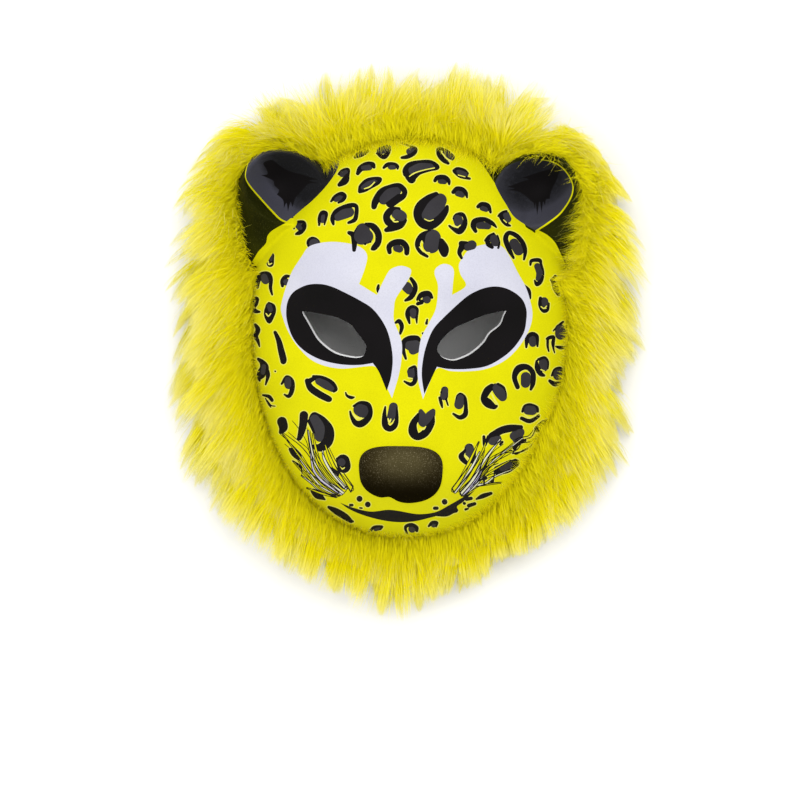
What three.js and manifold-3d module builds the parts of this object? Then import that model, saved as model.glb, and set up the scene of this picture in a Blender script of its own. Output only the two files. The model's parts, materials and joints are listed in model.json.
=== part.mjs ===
// A foam leopard mask: a thermoformed foam face with ears, muzzle, nose and two eye holes, and a
// long-pile plush ruff sewn round its edge. It lies on its back edge with the face up, so +Z is the
// way the face looks, +Y is the top of the head and +X is the right of the picture. Millimetres.
import * as THREE from "three";
import { mergeVertices } from "three/addons/utils/BufferGeometryUtils.js";
import Module from "manifold-3d";

// Face shell: its edge is an oval about the point between the eyes, whose height over the table is 0
const FACE_HALF_WIDTH = 81.5;
const FACE_WIDEST_Y = 10;
const FACE_TOP_RISE = 91;
const FACE_CHIN_DROP = 115;
const FACE_CHEEK_FULLNESS = 2.25;
const DOME_HEIGHT = 60;
const DOME_SHOULDER = 2.4;
const DOME_EDGE_CURVE = 2.2;
const FOAM_THICKNESS = 3.5;

// Forms pressed into the face: centre, spread and height of each soft mound or hollow.
// Those off the middle are pressed on both sides.
const MOUNDS = [
  { name: "muzzle", x: 0, y: -71, spreadX: 29, above: 37, below: 17, height: 31 },
  { name: "whisker pad", x: 22, y: -78, spreadX: 14, above: 13, below: 10, height: 5 },
  { name: "chin", x: 0, y: -95, spreadX: 17, above: 6, below: 9, height: 4.5 },
  { name: "brow", x: 30, y: 27, spreadX: 17, above: 12, below: 9, height: 3.5 },
  { name: "eye socket", x: 33, y: 1, spreadX: 17, above: 11, below: 10, height: -5 },
  { name: "cheek", x: 50, y: -30, spreadX: 16, above: 15, below: 17, height: 4 },
  { name: "forehead", x: 0, y: 50, spreadX: 26, above: 22, below: 22, height: 3 },
];

// Nose pad: a rounded boss, a little lower in the middle of its lower edge
const NOSE = {
  y: -69.5,
  halfWidth: 20,
  halfHeight: 13.7,
  height: 7.5,
  taper: 1.8,
  notch: 2,
  notchWidth: 4,
  squareness: 2.5,
  edgeCurve: 0.5,
  foot: 58,
};

// Ears: a cup pressed in the same sheet. Its rim is an ellipse whose long way leans out and up.
const EAR_X = 60.5;
const EAR_Y = 68.5;
const EAR_LEAN = THREE.MathUtils.degToRad(24);
const EAR_LONG = 20.5;
const EAR_SHORT = 17;
const EAR_RIM_HEIGHT = 42;
const EAR_RIM_SLOPE = 0.34;
const EAR_CUP_DEPTH = 15;
const EAR_CUP_SKEW = 0.9;
const EAR_WALL_STEEP = 6;
const EAR_WALL_GENTLE = 1.05;
const EAR_GENTLE_DIRECTION = THREE.MathUtils.degToRad(-68);
const EAR_GENTLE_WIDTH = THREE.MathUtils.degToRad(58);
const EAR_RIM_ROUNDING = 2.4;

// Eye holes: an almond on each side, cut on a slant so that its lower outer edge shows the foam
const EYE_OUTER = new THREE.Vector2(49, 8.8);
const EYE_TOP_BULGE = new THREE.Vector2(31, 7);
const EYE_INNER = new THREE.Vector2(17.2, -7.5);
const EYE_LOWER_BULGE = new THREE.Vector2(27, -14.2);
const EYE_LOWER_OUTER = new THREE.Vector2(41, -7.5);
const EYE_CUT_SLANT = new THREE.Vector2(0.2, -0.22);
const EYE_CUT_DEPTH = 50;

// Plush ruff: a strip of long pile round the edge of the face, its hair in pointed locks
const RUFF_GAP = 0.6;
const RUFF_GAP_REACH = THREE.MathUtils.degToRad(1.4);
const RUFF_SEAM_HEIGHT = 20;
const RUFF_CREST_HEIGHT = 33;
const RUFF_RIGHT = 111;
const RUFF_LEFT = 117;
const RUFF_TOP = 126;
const RUFF_CHIN = 131;
const RUFF_SQUARENESS_ABOVE = 2.5;
const RUFF_SQUARENESS_BELOW = 2.1;
const RUFF_DROOP = 0.11;
const LOCKS_ROUND = 48;
const LOCK_REACH = 13;
const STEPS_PER_LOCK = 4;

// Mesh fineness
const FACE_RAYS = 60;
const FACE_FRONT_RINGS = 15;
const FACE_BACK_RINGS = 7;
const EAR_RAYS = 30;
const EAR_FRONT_RINGS = 12;
const EAR_BACK_RINGS = 7;
const NOSE_RAYS = 24;
const NOSE_RINGS = 8;
const PROFILE_SAMPLES = 260;
const BELOW_TABLE = -1;

const { clamp, lerp } = THREE.MathUtils;
const smoothMax = (a, b, width) => {
  const share = Math.max(width - Math.abs(a - b), 0) / width;
  return Math.max(a, b) + (share * share * width) / 4;
};
const smoothMin = (a, b, width) => -smoothMax(-a, -b, width);

// How far a point is from the middle of the face to its edge, as a share: 1 on the edge.
// The edge is an oval whose lower half is a little squarer, for full cheeks.
function ovalShare(x, y) {
  const rise = y - FACE_WIDEST_Y;
  if (rise > 0) return Math.hypot(x / FACE_HALF_WIDTH, rise / FACE_TOP_RISE);
  const across = Math.abs(x / FACE_HALF_WIDTH) ** FACE_CHEEK_FULLNESS;
  const along = Math.abs(rise / FACE_CHIN_DROP) ** FACE_CHEEK_FULLNESS;
  return (across + along) ** (1 / FACE_CHEEK_FULLNESS);
}

function mound({ x: cx, y: cy, spreadX, above, below, height }, x, y) {
  const across = (cx === 0 ? x : Math.abs(x) - cx) / spreadX;
  const along = (y - cy) / (y > cy ? above : below);
  return height * Math.exp(-(across * across + along * along) / 2);
}

// How far a point is from the middle of the nose pad to its outline, as a share: 1 on it.
function noseShare(x, y) {
  const up = y - NOSE.y;
  const notch = up < 0 ? NOSE.notch * Math.exp(-((x / NOSE.notchWidth) ** 2)) : 0;
  const across = Math.abs(x) / (NOSE.halfWidth - (NOSE.taper * up) / NOSE.halfHeight);
  const along = Math.abs(up) / (NOSE.halfHeight - notch);
  return (across ** NOSE.squareness + along ** NOSE.squareness) ** (1 / NOSE.squareness);
}

// The smooth face, without its nose pad and ears, as a height over the table: a pressed sheet
// has no undercut.
function faceHeight(x, y) {
  const rho = ovalShare(x, y);
  if (rho >= 1) return -DOME_HEIGHT * (rho - 1) * 8;
  const dome = DOME_HEIGHT * (1 - rho ** DOME_SHOULDER) ** (1 / DOME_EDGE_CURVE);
  const fade = (1 - rho ** 8) ** 0.5;
  let features = 0;
  for (const m of MOUNDS) features += mound(m, x, y);
  return dome + features * fade;
}

// The nose pad as a height over the table, which ends just inside the face.
function noseHeight(x, y) {
  const round = Math.max(1 - noseShare(x, y) ** NOSE.squareness, 0) ** NOSE.edgeCurve;
  return faceHeight(x, y) + NOSE.height * round;
}

// The right ear as a height over the table: a hollow cup inside its rim, a wall outside it.
function earHeight(x, y) {
  const dx = x - EAR_X;
  const dy = y - EAR_Y;
  const toTip = dx * Math.cos(EAR_LEAN) + dy * Math.sin(EAR_LEAN);
  const across = -dx * Math.sin(EAR_LEAN) + dy * Math.cos(EAR_LEAN);
  const q = Math.hypot(toTip / EAR_LONG, across / EAR_SHORT);
  const tipShare = clamp(toTip / EAR_LONG, -1, 1);
  const rim = EAR_RIM_HEIGHT + EAR_RIM_SLOPE * EAR_LONG * tipShare;
  const cup = rim - EAR_CUP_DEPTH * (1 - q * q) * (1 + EAR_CUP_SKEW * tipShare);
  const turn = Math.atan2(dy, dx) - EAR_GENTLE_DIRECTION;
  const around = Math.atan2(Math.sin(turn), Math.cos(turn)) / EAR_GENTLE_WIDTH;
  const steepness = lerp(EAR_WALL_STEEP, EAR_WALL_GENTLE, Math.exp(-(around ** 2)));
  const wall = rim - steepness * EAR_SHORT * (q - 1);
  return smoothMin(cup, wall, EAR_RIM_ROUNDING);
}

// The places under a ball of the foam's thickness, as steps across the table and a drop.
const UNDER_BALL = [[0, 0, FOAM_THICKNESS]];
for (const share of [0.4, 0.75, 0.97])
  for (let k = 0; k < 12; k++) {
    const turn = (k / 12) * Math.PI * 2;
    const reach = share * FOAM_THICKNESS;
    const drop = FOAM_THICKNESS * Math.sqrt(1 - share * share);
    UNDER_BALL.push([reach * Math.cos(turn), reach * Math.sin(turn), drop]);
  }

// The back of the sheet: everywhere one foam thickness in from a front surface.
const behind = (front) => (x, y) =>
  Math.min(...UNDER_BALL.map(([dx, dy, drop]) => front(x + dx, y + dy) - drop));

// The radius at which a height falls to a level, searched from outside along a ray.
function radiusAt(height, centre, turn, level) {
  const at = (r) => height(centre.x + r * Math.cos(turn), centre.y + r * Math.sin(turn)) - level;
  let outside = 150;
  while (at(outside - 1) <= 0) outside -= 1;
  let inside = outside - 1;
  for (let k = 0; k < 30; k++) {
    const between = (inside + outside) / 2;
    if (at(between) > 0) inside = between;
    else outside = between;
  }
  return inside;
}

// A surface to build a body under: its height, the centre of its rays and where each ray ends.
// One that runs down to the table ends there exactly.
const ORIGIN = new THREE.Vector2(0, 0);
const downToTable = (height, centre) => ({
  height,
  centre,
  edge: (turn) => radiusAt(height, centre, turn, 0),
  endsOnTable: true,
});

// Points along one ray, evenly spaced by the length of the slope, from the centre to the edge.
function slopePoints({ height, centre, edge, endsOnTable }, turn, rings) {
  const [c, s] = [Math.cos(turn), Math.sin(turn)];
  const reach = edge(turn);
  const dense = [];
  for (let k = 0; k <= PROFILE_SAMPLES; k++) {
    const r = reach * Math.sin(((k / PROFILE_SAMPLES) * Math.PI) / 2);
    dense.push([r, Math.max(height(centre.x + r * c, centre.y + r * s), 0)]);
  }
  const run = [0];
  for (let k = 1; k <= PROFILE_SAMPLES; k++)
    run.push(run[k - 1] + Math.hypot(dense[k][0] - dense[k - 1][0], dense[k][1] - dense[k - 1][1]));
  const points = [];
  let k = 0;
  for (let ring = 1; ring <= rings; ring++) {
    const wanted = (run[PROFILE_SAMPLES] * ring) / rings;
    while (k < PROFILE_SAMPLES - 1 && run[k + 1] < wanted) k++;
    const share = clamp((wanted - run[k]) / (run[k + 1] - run[k] || 1), 0, 1);
    const r = lerp(dense[k][0], dense[k + 1][0], share);
    const z = lerp(dense[k][1], dense[k + 1][1], share);
    points.push([centre.x + r * c, centre.y + r * s, endsOnTable && ring === rings ? 0 : z]);
  }
  return points;
}

function geometryFrom(points, faces) {
  const geometry = new THREE.BufferGeometry();
  geometry.setAttribute("position", new THREE.BufferAttribute(new Float32Array(points.flat()), 3));
  geometry.setIndex(faces.flat());
  return geometry;
}

// A closed body under a surface: rays about its centre out to its edge, straight down from there
// to a flat floor, which may be level with the edge.
function bodyUnder(surface, rays, rings, floor) {
  const { height, centre } = surface;
  const points = [
    [centre.x, centre.y, height(centre.x, centre.y)],
    [centre.x, centre.y, floor],
  ];
  for (let ray = 0; ray < rays; ray++) {
    const slope = slopePoints(surface, (ray / rays) * Math.PI * 2, rings);
    const [x, y] = slope[rings - 1];
    points.push(...slope, [x, y, floor]);
  }
  const at = (ray, ring) => 2 + (ray % rays) * (rings + 1) + ring;
  const faces = [];
  for (let ray = 0; ray < rays; ray++) {
    faces.push([0, at(ray, 0), at(ray + 1, 0)], [1, at(ray + 1, rings), at(ray, rings)]);
    for (let ring = 0; ring < rings; ring++) {
      const [a, b] = [at(ray, ring), at(ray, ring + 1)];
      const [c, d] = [at(ray + 1, ring + 1), at(ray + 1, ring)];
      faces.push([a, b, c], [a, c, d]);
    }
  }
  return geometryFrom(points, faces);
}

// The outline of the right eye hole: a nearly straight top, a round inner end, a full lower lid.
function eyeOutline() {
  const shape = new THREE.Shape();
  const [outer, inner, lower] = [EYE_OUTER, EYE_INNER, EYE_LOWER_BULGE];
  shape.moveTo(outer.x, outer.y);
  shape.bezierCurveTo(EYE_TOP_BULGE.x, EYE_TOP_BULGE.y, inner.x + 3, inner.y + 10, inner.x, inner.y);
  shape.bezierCurveTo(inner.x - 0.5, inner.y - 4, inner.x + 4, lower.y, lower.x, lower.y);
  shape.bezierCurveTo(lower.x + 6, lower.y, EYE_LOWER_OUTER.x, EYE_LOWER_OUTER.y, outer.x, outer.y);
  return shape;
}

// A prism through the face, sheared so that the cut opens outwards and down towards the front.
function eyeCutter() {
  const level = faceHeight((EYE_INNER.x + EYE_OUTER.x) / 2, (EYE_INNER.y + EYE_OUTER.y) / 2);
  const geometry = new THREE.ExtrudeGeometry(eyeOutline(), {
    depth: EYE_CUT_DEPTH,
    bevelEnabled: false,
    curveSegments: 7,
  });
  const shear = new THREE.Matrix4().makeShear(0, 0, 0, 0, EYE_CUT_SLANT.x, EYE_CUT_SLANT.y);
  return geometry.translate(0, 0, -EYE_CUT_DEPTH / 2).applyMatrix4(shear).translate(0, 0, level);
}

// Solids for joining and cutting
const wasm = await Module();
wasm.setup();

function solid(geometry) {
  const bare = geometry.clone();
  bare.deleteAttribute("normal");
  bare.deleteAttribute("uv");
  const merged = mergeVertices(bare, 1e-4);
  return new wasm.Manifold(
    new wasm.Mesh({
      numProp: 3,
      vertProperties: new Float32Array(merged.attributes.position.array),
      triVerts: new Uint32Array(merged.index.array),
    }),
  );
}

// The same body on the other side of the face: mirrored, with its faces turned out again.
function mirrored(geometry) {
  const copy = mergeVertices(geometry.clone().deleteAttribute("normal").deleteAttribute("uv"), 1e-4);
  copy.scale(-1, 1, 1);
  copy.setIndex(Array.from(copy.index.array).reverse());
  return copy;
}

function geometryOf(manifold) {
  const mesh = manifold.getMesh();
  const geometry = new THREE.BufferGeometry();
  geometry.setAttribute("position", new THREE.BufferAttribute(mesh.vertProperties, mesh.numProp));
  geometry.setIndex(new THREE.BufferAttribute(mesh.triVerts, 1));
  geometry.computeVertexNormals();
  return geometry;
}

// The pressed sheet: the face, nose pad and both ears as one outer body, less the same body one
// foam thickness in, less the eye holes.
function faceGeometry() {
  const earCentre = new THREE.Vector2(EAR_X, EAR_Y);
  const noseCentre = new THREE.Vector2(0, NOSE.y);
  const noseSurface = {
    height: noseHeight,
    centre: noseCentre,
    edge: (turn) => radiusAt((x, y) => 1 - noseShare(x, y), noseCentre, turn, 0),
    endsOnTable: false,
  };
  const earFront = downToTable(earHeight, earCentre);
  const earBack = downToTable(behind(earHeight), earCentre);
  const faceFront = downToTable(faceHeight, ORIGIN);
  const faceBack = downToTable(behind(faceHeight), ORIGIN);
  const outerEar = bodyUnder(earFront, EAR_RAYS, EAR_FRONT_RINGS, 0);
  const innerEar = bodyUnder(earBack, EAR_RAYS, EAR_BACK_RINGS, BELOW_TABLE);
  const outer = solid(bodyUnder(faceFront, FACE_RAYS, FACE_FRONT_RINGS, 0))
    .add(solid(bodyUnder(noseSurface, NOSE_RAYS, NOSE_RINGS, NOSE.foot)))
    .add(solid(outerEar))
    .add(solid(mirrored(outerEar)));
  const inner = solid(bodyUnder(faceBack, FACE_RAYS, FACE_BACK_RINGS, BELOW_TABLE))
    .add(solid(innerEar))
    .add(solid(mirrored(innerEar)));
  const eye = eyeCutter();
  return geometryOf(outer.subtract(inner).subtract(solid(eye)).subtract(solid(mirrored(eye))));
}

// The front of the whole mask, where the ruff meets it
const frontHeight = (x, y) => Math.max(faceHeight(x, y), earHeight(Math.abs(x), y));

// The soft outer edge of the ruff, before its locks
function ruffRadius(turn) {
  const [c, s] = [Math.cos(turn), Math.sin(turn)];
  const across = Math.abs(c) / (c > 0 ? RUFF_RIGHT : RUFF_LEFT);
  const along = Math.abs(s) / (s > 0 ? RUFF_TOP : RUFF_CHIN);
  const power = s > 0 ? RUFF_SQUARENESS_ABOVE : RUFF_SQUARENESS_BELOW;
  return (across ** power + along ** power) ** (-1 / power);
}

// A repeatable uneven number from 0 to 1 for each lock
const uneven = (k) => {
  const value = Math.sin(k * 12.9898 + 4.1) * 43758.5453;
  return value - Math.floor(value);
};

// One row of locks as a wave: up to 1 at a lock's tip and 0 in the partings beside it.
function lockWave(place, row) {
  const k = Math.floor(place);
  const share = place - k;
  const rise = 1 - Math.abs(2 * share - 1);
  return rise * (0.45 + 0.55 * uneven((k % LOCKS_ROUND) * 3 + row * 31));
}

// The section of the ruff on one ray, from the seam over the crest to the tips and back under.
// Each point is a radius, a height and how far the hair there sweeps down beside the face.
function ruffSection(turn, share) {
  const seam = (z) => {
    const nearby = [-RUFF_GAP_REACH, 0, RUFF_GAP_REACH];
    const radii = nearby.map((aside) => radiusAt(frontHeight, ORIGIN, turn + aside, z));
    return RUFF_GAP + Math.max(...radii);
  };
  const place = share * LOCKS_ROUND;
  const crest = lockWave(place + 0.5, 3);
  const middle = lockWave(place, 2);
  const tips = lockWave(place + 0.5, 1);
  const start = seam(RUFF_SEAM_HEIGHT);
  const edge = ruffRadius(turn);
  const across = (part) => lerp(start, edge, part);
  return [
    [seam(0), 0, 0],
    [seam(7), 7, 0],
    [seam(14), 14, 0],
    [start, RUFF_SEAM_HEIGHT, 0],
    [across(0.2), RUFF_CREST_HEIGHT - 4 + 4 * crest, 0.1],
    [across(0.4) + 4 * crest, RUFF_CREST_HEIGHT - 2 + 2 * middle, 0.25],
    [across(0.6) + 6 * middle, RUFF_CREST_HEIGHT - 10 + 5 * middle, 0.5],
    [across(0.84) + 6 * tips, RUFF_CREST_HEIGHT - 18 + 3 * tips, 0.75],
    [edge + LOCK_REACH * (tips - 0.4), 6, 1],
    [across(0.8) + 5 * tips, 1.5, 0.7],
    [across(0.55), 0, 0.3],
  ];
}

function ruffGeometry() {
  const steps = LOCKS_ROUND * STEPS_PER_LOCK;
  const sections = [];
  for (let k = 0; k < steps; k++) {
    const turn = (k / steps) * Math.PI * 2;
    const droop = -RUFF_DROOP * Math.cos(turn);
    const swept = ([r, z, sweep]) => {
      const aside = turn + droop * sweep;
      return [r * Math.cos(aside), r * Math.sin(aside), z];
    };
    sections.push(ruffSection(turn, k / steps).map(swept));
  }
  const count = sections[0].length;
  const at = (ray, place) => (ray % steps) * count + (place % count);
  const faces = [];
  for (let k = 0; k < steps; k++)
    for (let p = 0; p < count; p++) {
      const [a, b, c, d] = [at(k, p), at(k, p + 1), at(k + 1, p + 1), at(k + 1, p)];
      faces.push([a, b, c], [a, c, d]);
    }
  return geometryFrom(sections.flat(), faces);
}

const foam = new THREE.MeshStandardMaterial({ color: 0xe6e400, roughness: 0.7, metalness: 0 });
const plush = new THREE.MeshStandardMaterial({ color: 0xe3d820, roughness: 0.95, metalness: 0 });

const mask = new THREE.Group();

const face = new THREE.Mesh(faceGeometry(), foam);
face.name = "foam_face";
mask.add(face);

const ruff = new THREE.Mesh(ruffGeometry(), plush);
ruff.name = "plush_ruff";
mask.add(ruff);

// The origin is the middle of the mask's box, on the surface that it lies on.
const box = new THREE.Box3().setFromObject(mask);
const middle = box.getCenter(new THREE.Vector3());
mask.position.set(-middle.x, -middle.y, -box.min.z);

export default mask;
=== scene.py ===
"""Foam leopard mask with a long-pile ruff: the looks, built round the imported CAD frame.

Everything is worked out in millimetres about the middle of the foam face on the table, which is
how the pressed sheet is drawn, and is moved to the row frame in metres when a mesh is made.
The printed shapes are placed by where they lie in an enlarged photograph of the mask, through the
studio camera, onto the pressed surface.
"""

import json
import logging
import math
from abc import ABC, abstractmethod
from dataclasses import KW_ONLY, dataclass, field
from enum import Enum
from functools import cached_property
from typing import Callable, Iterable, Sequence

import bpy
import numpy as np
from mathutils import Matrix, Vector
from mathutils.geometry import delaunay_2d_cdt

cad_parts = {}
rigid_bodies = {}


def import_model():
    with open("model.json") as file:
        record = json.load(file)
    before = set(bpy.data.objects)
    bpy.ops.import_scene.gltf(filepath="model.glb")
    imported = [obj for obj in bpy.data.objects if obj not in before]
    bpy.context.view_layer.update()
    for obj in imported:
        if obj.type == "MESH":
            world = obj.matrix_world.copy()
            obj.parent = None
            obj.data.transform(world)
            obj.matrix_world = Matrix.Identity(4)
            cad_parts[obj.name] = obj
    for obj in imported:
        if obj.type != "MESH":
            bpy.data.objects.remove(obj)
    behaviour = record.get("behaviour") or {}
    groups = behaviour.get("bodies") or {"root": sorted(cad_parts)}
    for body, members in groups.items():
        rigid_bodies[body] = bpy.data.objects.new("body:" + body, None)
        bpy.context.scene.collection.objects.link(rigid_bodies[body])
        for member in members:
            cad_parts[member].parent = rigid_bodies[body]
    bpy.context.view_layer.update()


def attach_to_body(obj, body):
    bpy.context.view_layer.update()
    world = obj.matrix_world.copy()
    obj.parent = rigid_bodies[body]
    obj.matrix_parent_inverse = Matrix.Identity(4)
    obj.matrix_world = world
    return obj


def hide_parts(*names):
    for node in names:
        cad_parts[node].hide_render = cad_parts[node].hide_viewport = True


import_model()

log = logging.getLogger("leopard_mask")

MM = 0.001
TURN = 2 * math.pi
FACE_IN_ROW = np.array([3.2178, 1.4985, 0.0])
SEED = 20251
BAKE_MAP = "OFBake"

Array = np.ndarray
Colour = tuple[float, float, float]


def lerp(a: Array, b: Array, share: Array) -> Array:
    """Blend from a to b by share."""
    return a + (b - a) * share


def smooth_step(low: float, high: float, value: Array) -> Array:
    """A soft step from 0 at low to 1 at high."""
    share = np.clip((value - low) / (high - low), 0.0, 1.0)
    return share * share * (3.0 - 2.0 * share)


def smooth_max(a: Array, b: Array, width: float) -> Array:
    """The larger of two heights, with the crease between them rounded over a width."""
    share = np.maximum(width - np.abs(a - b), 0.0) / width
    return np.maximum(a, b) + share * share * width / 4.0


def unit(vectors: Array) -> Array:
    """Vectors scaled to length one along the last axis."""
    return vectors / np.maximum(np.linalg.norm(vectors, axis=-1, keepdims=True), 1e-9)


def even_turns(count: int) -> Array:
    """Angles spread evenly over a full turn."""
    return np.arange(count) / count * TURN


def polar(turn: Array, radius: Array | float) -> Array:
    """Rows of x and y at angles and radii."""
    return np.column_stack([np.cos(turn) * radius, np.sin(turn) * radius])


def at_angle(turn: Array, listed: Array, values: Array) -> Array:
    """A value that is listed at angles round a full turn, at any angle."""
    return np.interp(turn % TURN, listed, values, period=TURN)


def bisect(
    low: Array, high: Array, kept: Callable[[Array], Array], rounds: int
) -> tuple[Array, Array]:
    """Close in on the borders between numbers that are kept and numbers that aren't.

    Args:
        low: A kept number for each border.
        high: A number past each border.
        kept: Which of a row of numbers are kept.
        rounds: How many times each gap is halved.

    Returns:
        The nearest numbers found on the two sides of each border.
    """
    for _ in range(rounds):
        middle = (low + high) / 2
        found = kept(middle)
        low, high = np.where(found, middle, low), np.where(found, high, middle)
    return low, high


def chain(count: int, start: int = 0) -> Array:
    """Edges that close a loop of points numbered from start."""
    places = np.arange(count)
    return np.stack([start + places, start + (places + 1) % count], axis=1)


def flowing(points: Sequence[Sequence[float]], step: float, closed: bool) -> Array:
    """Draw a smooth line through points of any dimension.

    A point that is given twice in a row is a corner.

    Args:
        points: The points that the line passes through.
        step: The greatest distance between two points of the result.
        closed: Whether the line returns to its start.

    Returns:
        The points of the smooth line.
    """
    given = np.asarray(points, float)
    if len(given) == 1:
        return given
    count = len(given)
    line = []
    for k in range(count if closed else count - 1):
        ends = [k - 1, k, k + 1, k + 2]
        picked = [i % count if closed else min(max(i, 0), count - 1) for i in ends]
        before, a, b, after = given[picked]
        reach = np.linalg.norm((b - a)[:2])
        if reach < 1e-9:
            continue
        corner_a = np.linalg.norm((a - before)[:2]) < 1e-9
        corner_b = np.linalg.norm((after - b)[:2]) < 1e-9
        pull_a = (b - a) / 2 if corner_a else (b - before) / 2
        pull_b = (b - a) / 2 if corner_b else (after - a) / 2
        limit = reach * 1.1
        pull_a = pull_a * min(1.0, limit / max(np.linalg.norm(pull_a[:2]), 1e-9))
        pull_b = pull_b * min(1.0, limit / max(np.linalg.norm(pull_b[:2]), 1e-9))
        steps = max(int(math.ceil(reach / step)), 2)
        t = (np.arange(steps) / steps)[:, None]
        line.append(
            (2 * t**3 - 3 * t**2 + 1) * a
            + (t**3 - 2 * t**2 + t) * pull_a
            + (3 * t**2 - 2 * t**3) * b
            + (t**3 - t**2) * pull_b
        )
    if not closed:
        line.append(given[-1:])
    return np.concatenate(line)


# ------------------------------------------------------------------ the pressed form


@dataclass(frozen=True)
class Mound:
    """A soft mound or hollow pressed into the face; one off the middle is on both sides."""

    x: float
    y: float
    spread: float
    above: float
    below: float
    height: float

    def lift(self, x: Array, y: Array) -> Array:
        """Height that the mound adds at a place."""
        across = (x if self.x == 0 else np.abs(x) - self.x) / self.spread
        along = (y - self.y) / np.where(y > self.y, self.above, self.below)
        return self.height * np.exp(-(across**2 + along**2) / 2)


@dataclass(frozen=True)
class NosePad:
    """The raised nose: a rounded boss with two lobes below, of which the right one is lower."""

    x: float = -0.8
    y: float = -70.0
    half_width: float = 20.1
    half_height: float = 13.8
    low_left: float = 12.6
    low_right: float = 14.2
    height: float = 7.5
    taper: float = 1.1
    notch: float = 1.5
    notch_x: float = -5.7
    notch_width: float = 3.0
    square_top: float = 3.2
    square_low: float = 2.55

    def share(self, x: Array, y: Array) -> Array:
        """How far a place is from the middle of the pad to its outline: 1 on it.

        Args:
            x: x of each place.
            y: y of each place.

        Returns:
            The share at each place.
        """
        dx, up = x - self.x, y - self.y
        low = lerp(self.low_left, self.low_right, smooth_step(-9.0, 4.0, dx))
        low = low - self.notch * np.exp(-(((dx - self.notch_x) / self.notch_width) ** 2))
        across = np.abs(dx) / (self.half_width + self.taper * up / self.half_height)
        along = np.abs(up) / np.where(up < 0, low, self.half_height)
        power = np.where(up < 0, self.square_low, self.square_top)
        return (across**power + along**power) ** (1 / power)

    def lift(self, x: Array, y: Array) -> Array:
        """Height of the pad over the face."""
        return self.height * np.sqrt(np.maximum(1 - self.share(x, y) ** self.square_low, 0))

    def ring(self, share: float, count: int) -> Array:
        """Points round the pad at one share of its outline.

        Args:
            share: The share.
            count: How many points.

        Returns:
            Rows of x and y.
        """
        turn, middle = even_turns(count), np.array([self.x, self.y])

        def inside(radius: Array) -> Array:
            """Which radii are within the share."""
            return self.share(*(polar(turn, radius) + middle).T) < share

        radius, _ = bisect(np.zeros(count), np.full(count, 2 * self.half_width), inside, 30)
        return polar(turn, radius) + middle


@dataclass(frozen=True)
class Ear:
    """A cup pressed in the same sheet, whose rim is an ellipse leaning out and up."""

    x: float = 60.5
    y: float = 68.5
    lean: float = math.radians(24)
    long: float = 20.5
    short: float = 17.0
    rim_height: float = 42.0
    rim_slope: float = 0.34
    cup_depth: float = 15.0
    cup_skew: float = 0.9
    wall_steep: float = 6.0
    wall_gentle: float = 1.05
    gentle_direction: float = math.radians(-68)
    gentle_width: float = math.radians(58)
    rim_rounding: float = 2.4

    def shares(self, x: Array, y: Array) -> tuple[Array, Array]:
        """Shares of the way to the rim: in all, and towards the ear's tip. Either side's ear.

        Args:
            x: x of each place.
            y: y of each place.

        Returns:
            The two shares at each place.
        """
        dx, dy = np.abs(x) - self.x, y - self.y
        to_tip = dx * math.cos(self.lean) + dy * math.sin(self.lean)
        across = -dx * math.sin(self.lean) + dy * math.cos(self.lean)
        q = np.hypot(to_tip / self.long, across / self.short)
        return q, np.clip(to_tip / self.long, -1, 1)

    def height(self, x: Array, y: Array) -> Array:
        """The ear as a height over the table: a cup inside its rim, a wall outside it.

        Args:
            x: x of each place.
            y: y of each place.

        Returns:
            A height for each place.
        """
        q, tip = self.shares(x, y)
        rim = self.rim_height + self.rim_slope * self.long * tip
        cup = rim - self.cup_depth * (1 - q * q) * (1 + self.cup_skew * tip)
        turn = np.arctan2(y - self.y, np.abs(x) - self.x) - self.gentle_direction
        around = np.arctan2(np.sin(turn), np.cos(turn)) / self.gentle_width
        steep = lerp(self.wall_steep, self.wall_gentle, np.exp(-(around**2)))
        wall = rim - steep * self.short * (q - 1)
        return -smooth_max(-cup, -wall, self.rim_rounding)

    def ring(self, share: float, count: int, side: int) -> Array:
        """Points at one share of the rim's ellipse, for the ear on one side.

        Args:
            share: The share of the way to the rim.
            count: How many points.
            side: 1 for the ear at positive x, or -1 for the other.

        Returns:
            Rows of x and y.
        """
        to_tip, across = (polar(even_turns(count), share) * [self.long, self.short]).T
        dx = to_tip * math.cos(self.lean) - across * math.sin(self.lean)
        dy = to_tip * math.sin(self.lean) + across * math.cos(self.lean)
        return np.stack([side * (self.x + dx), self.y + dy], axis=1)


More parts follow.
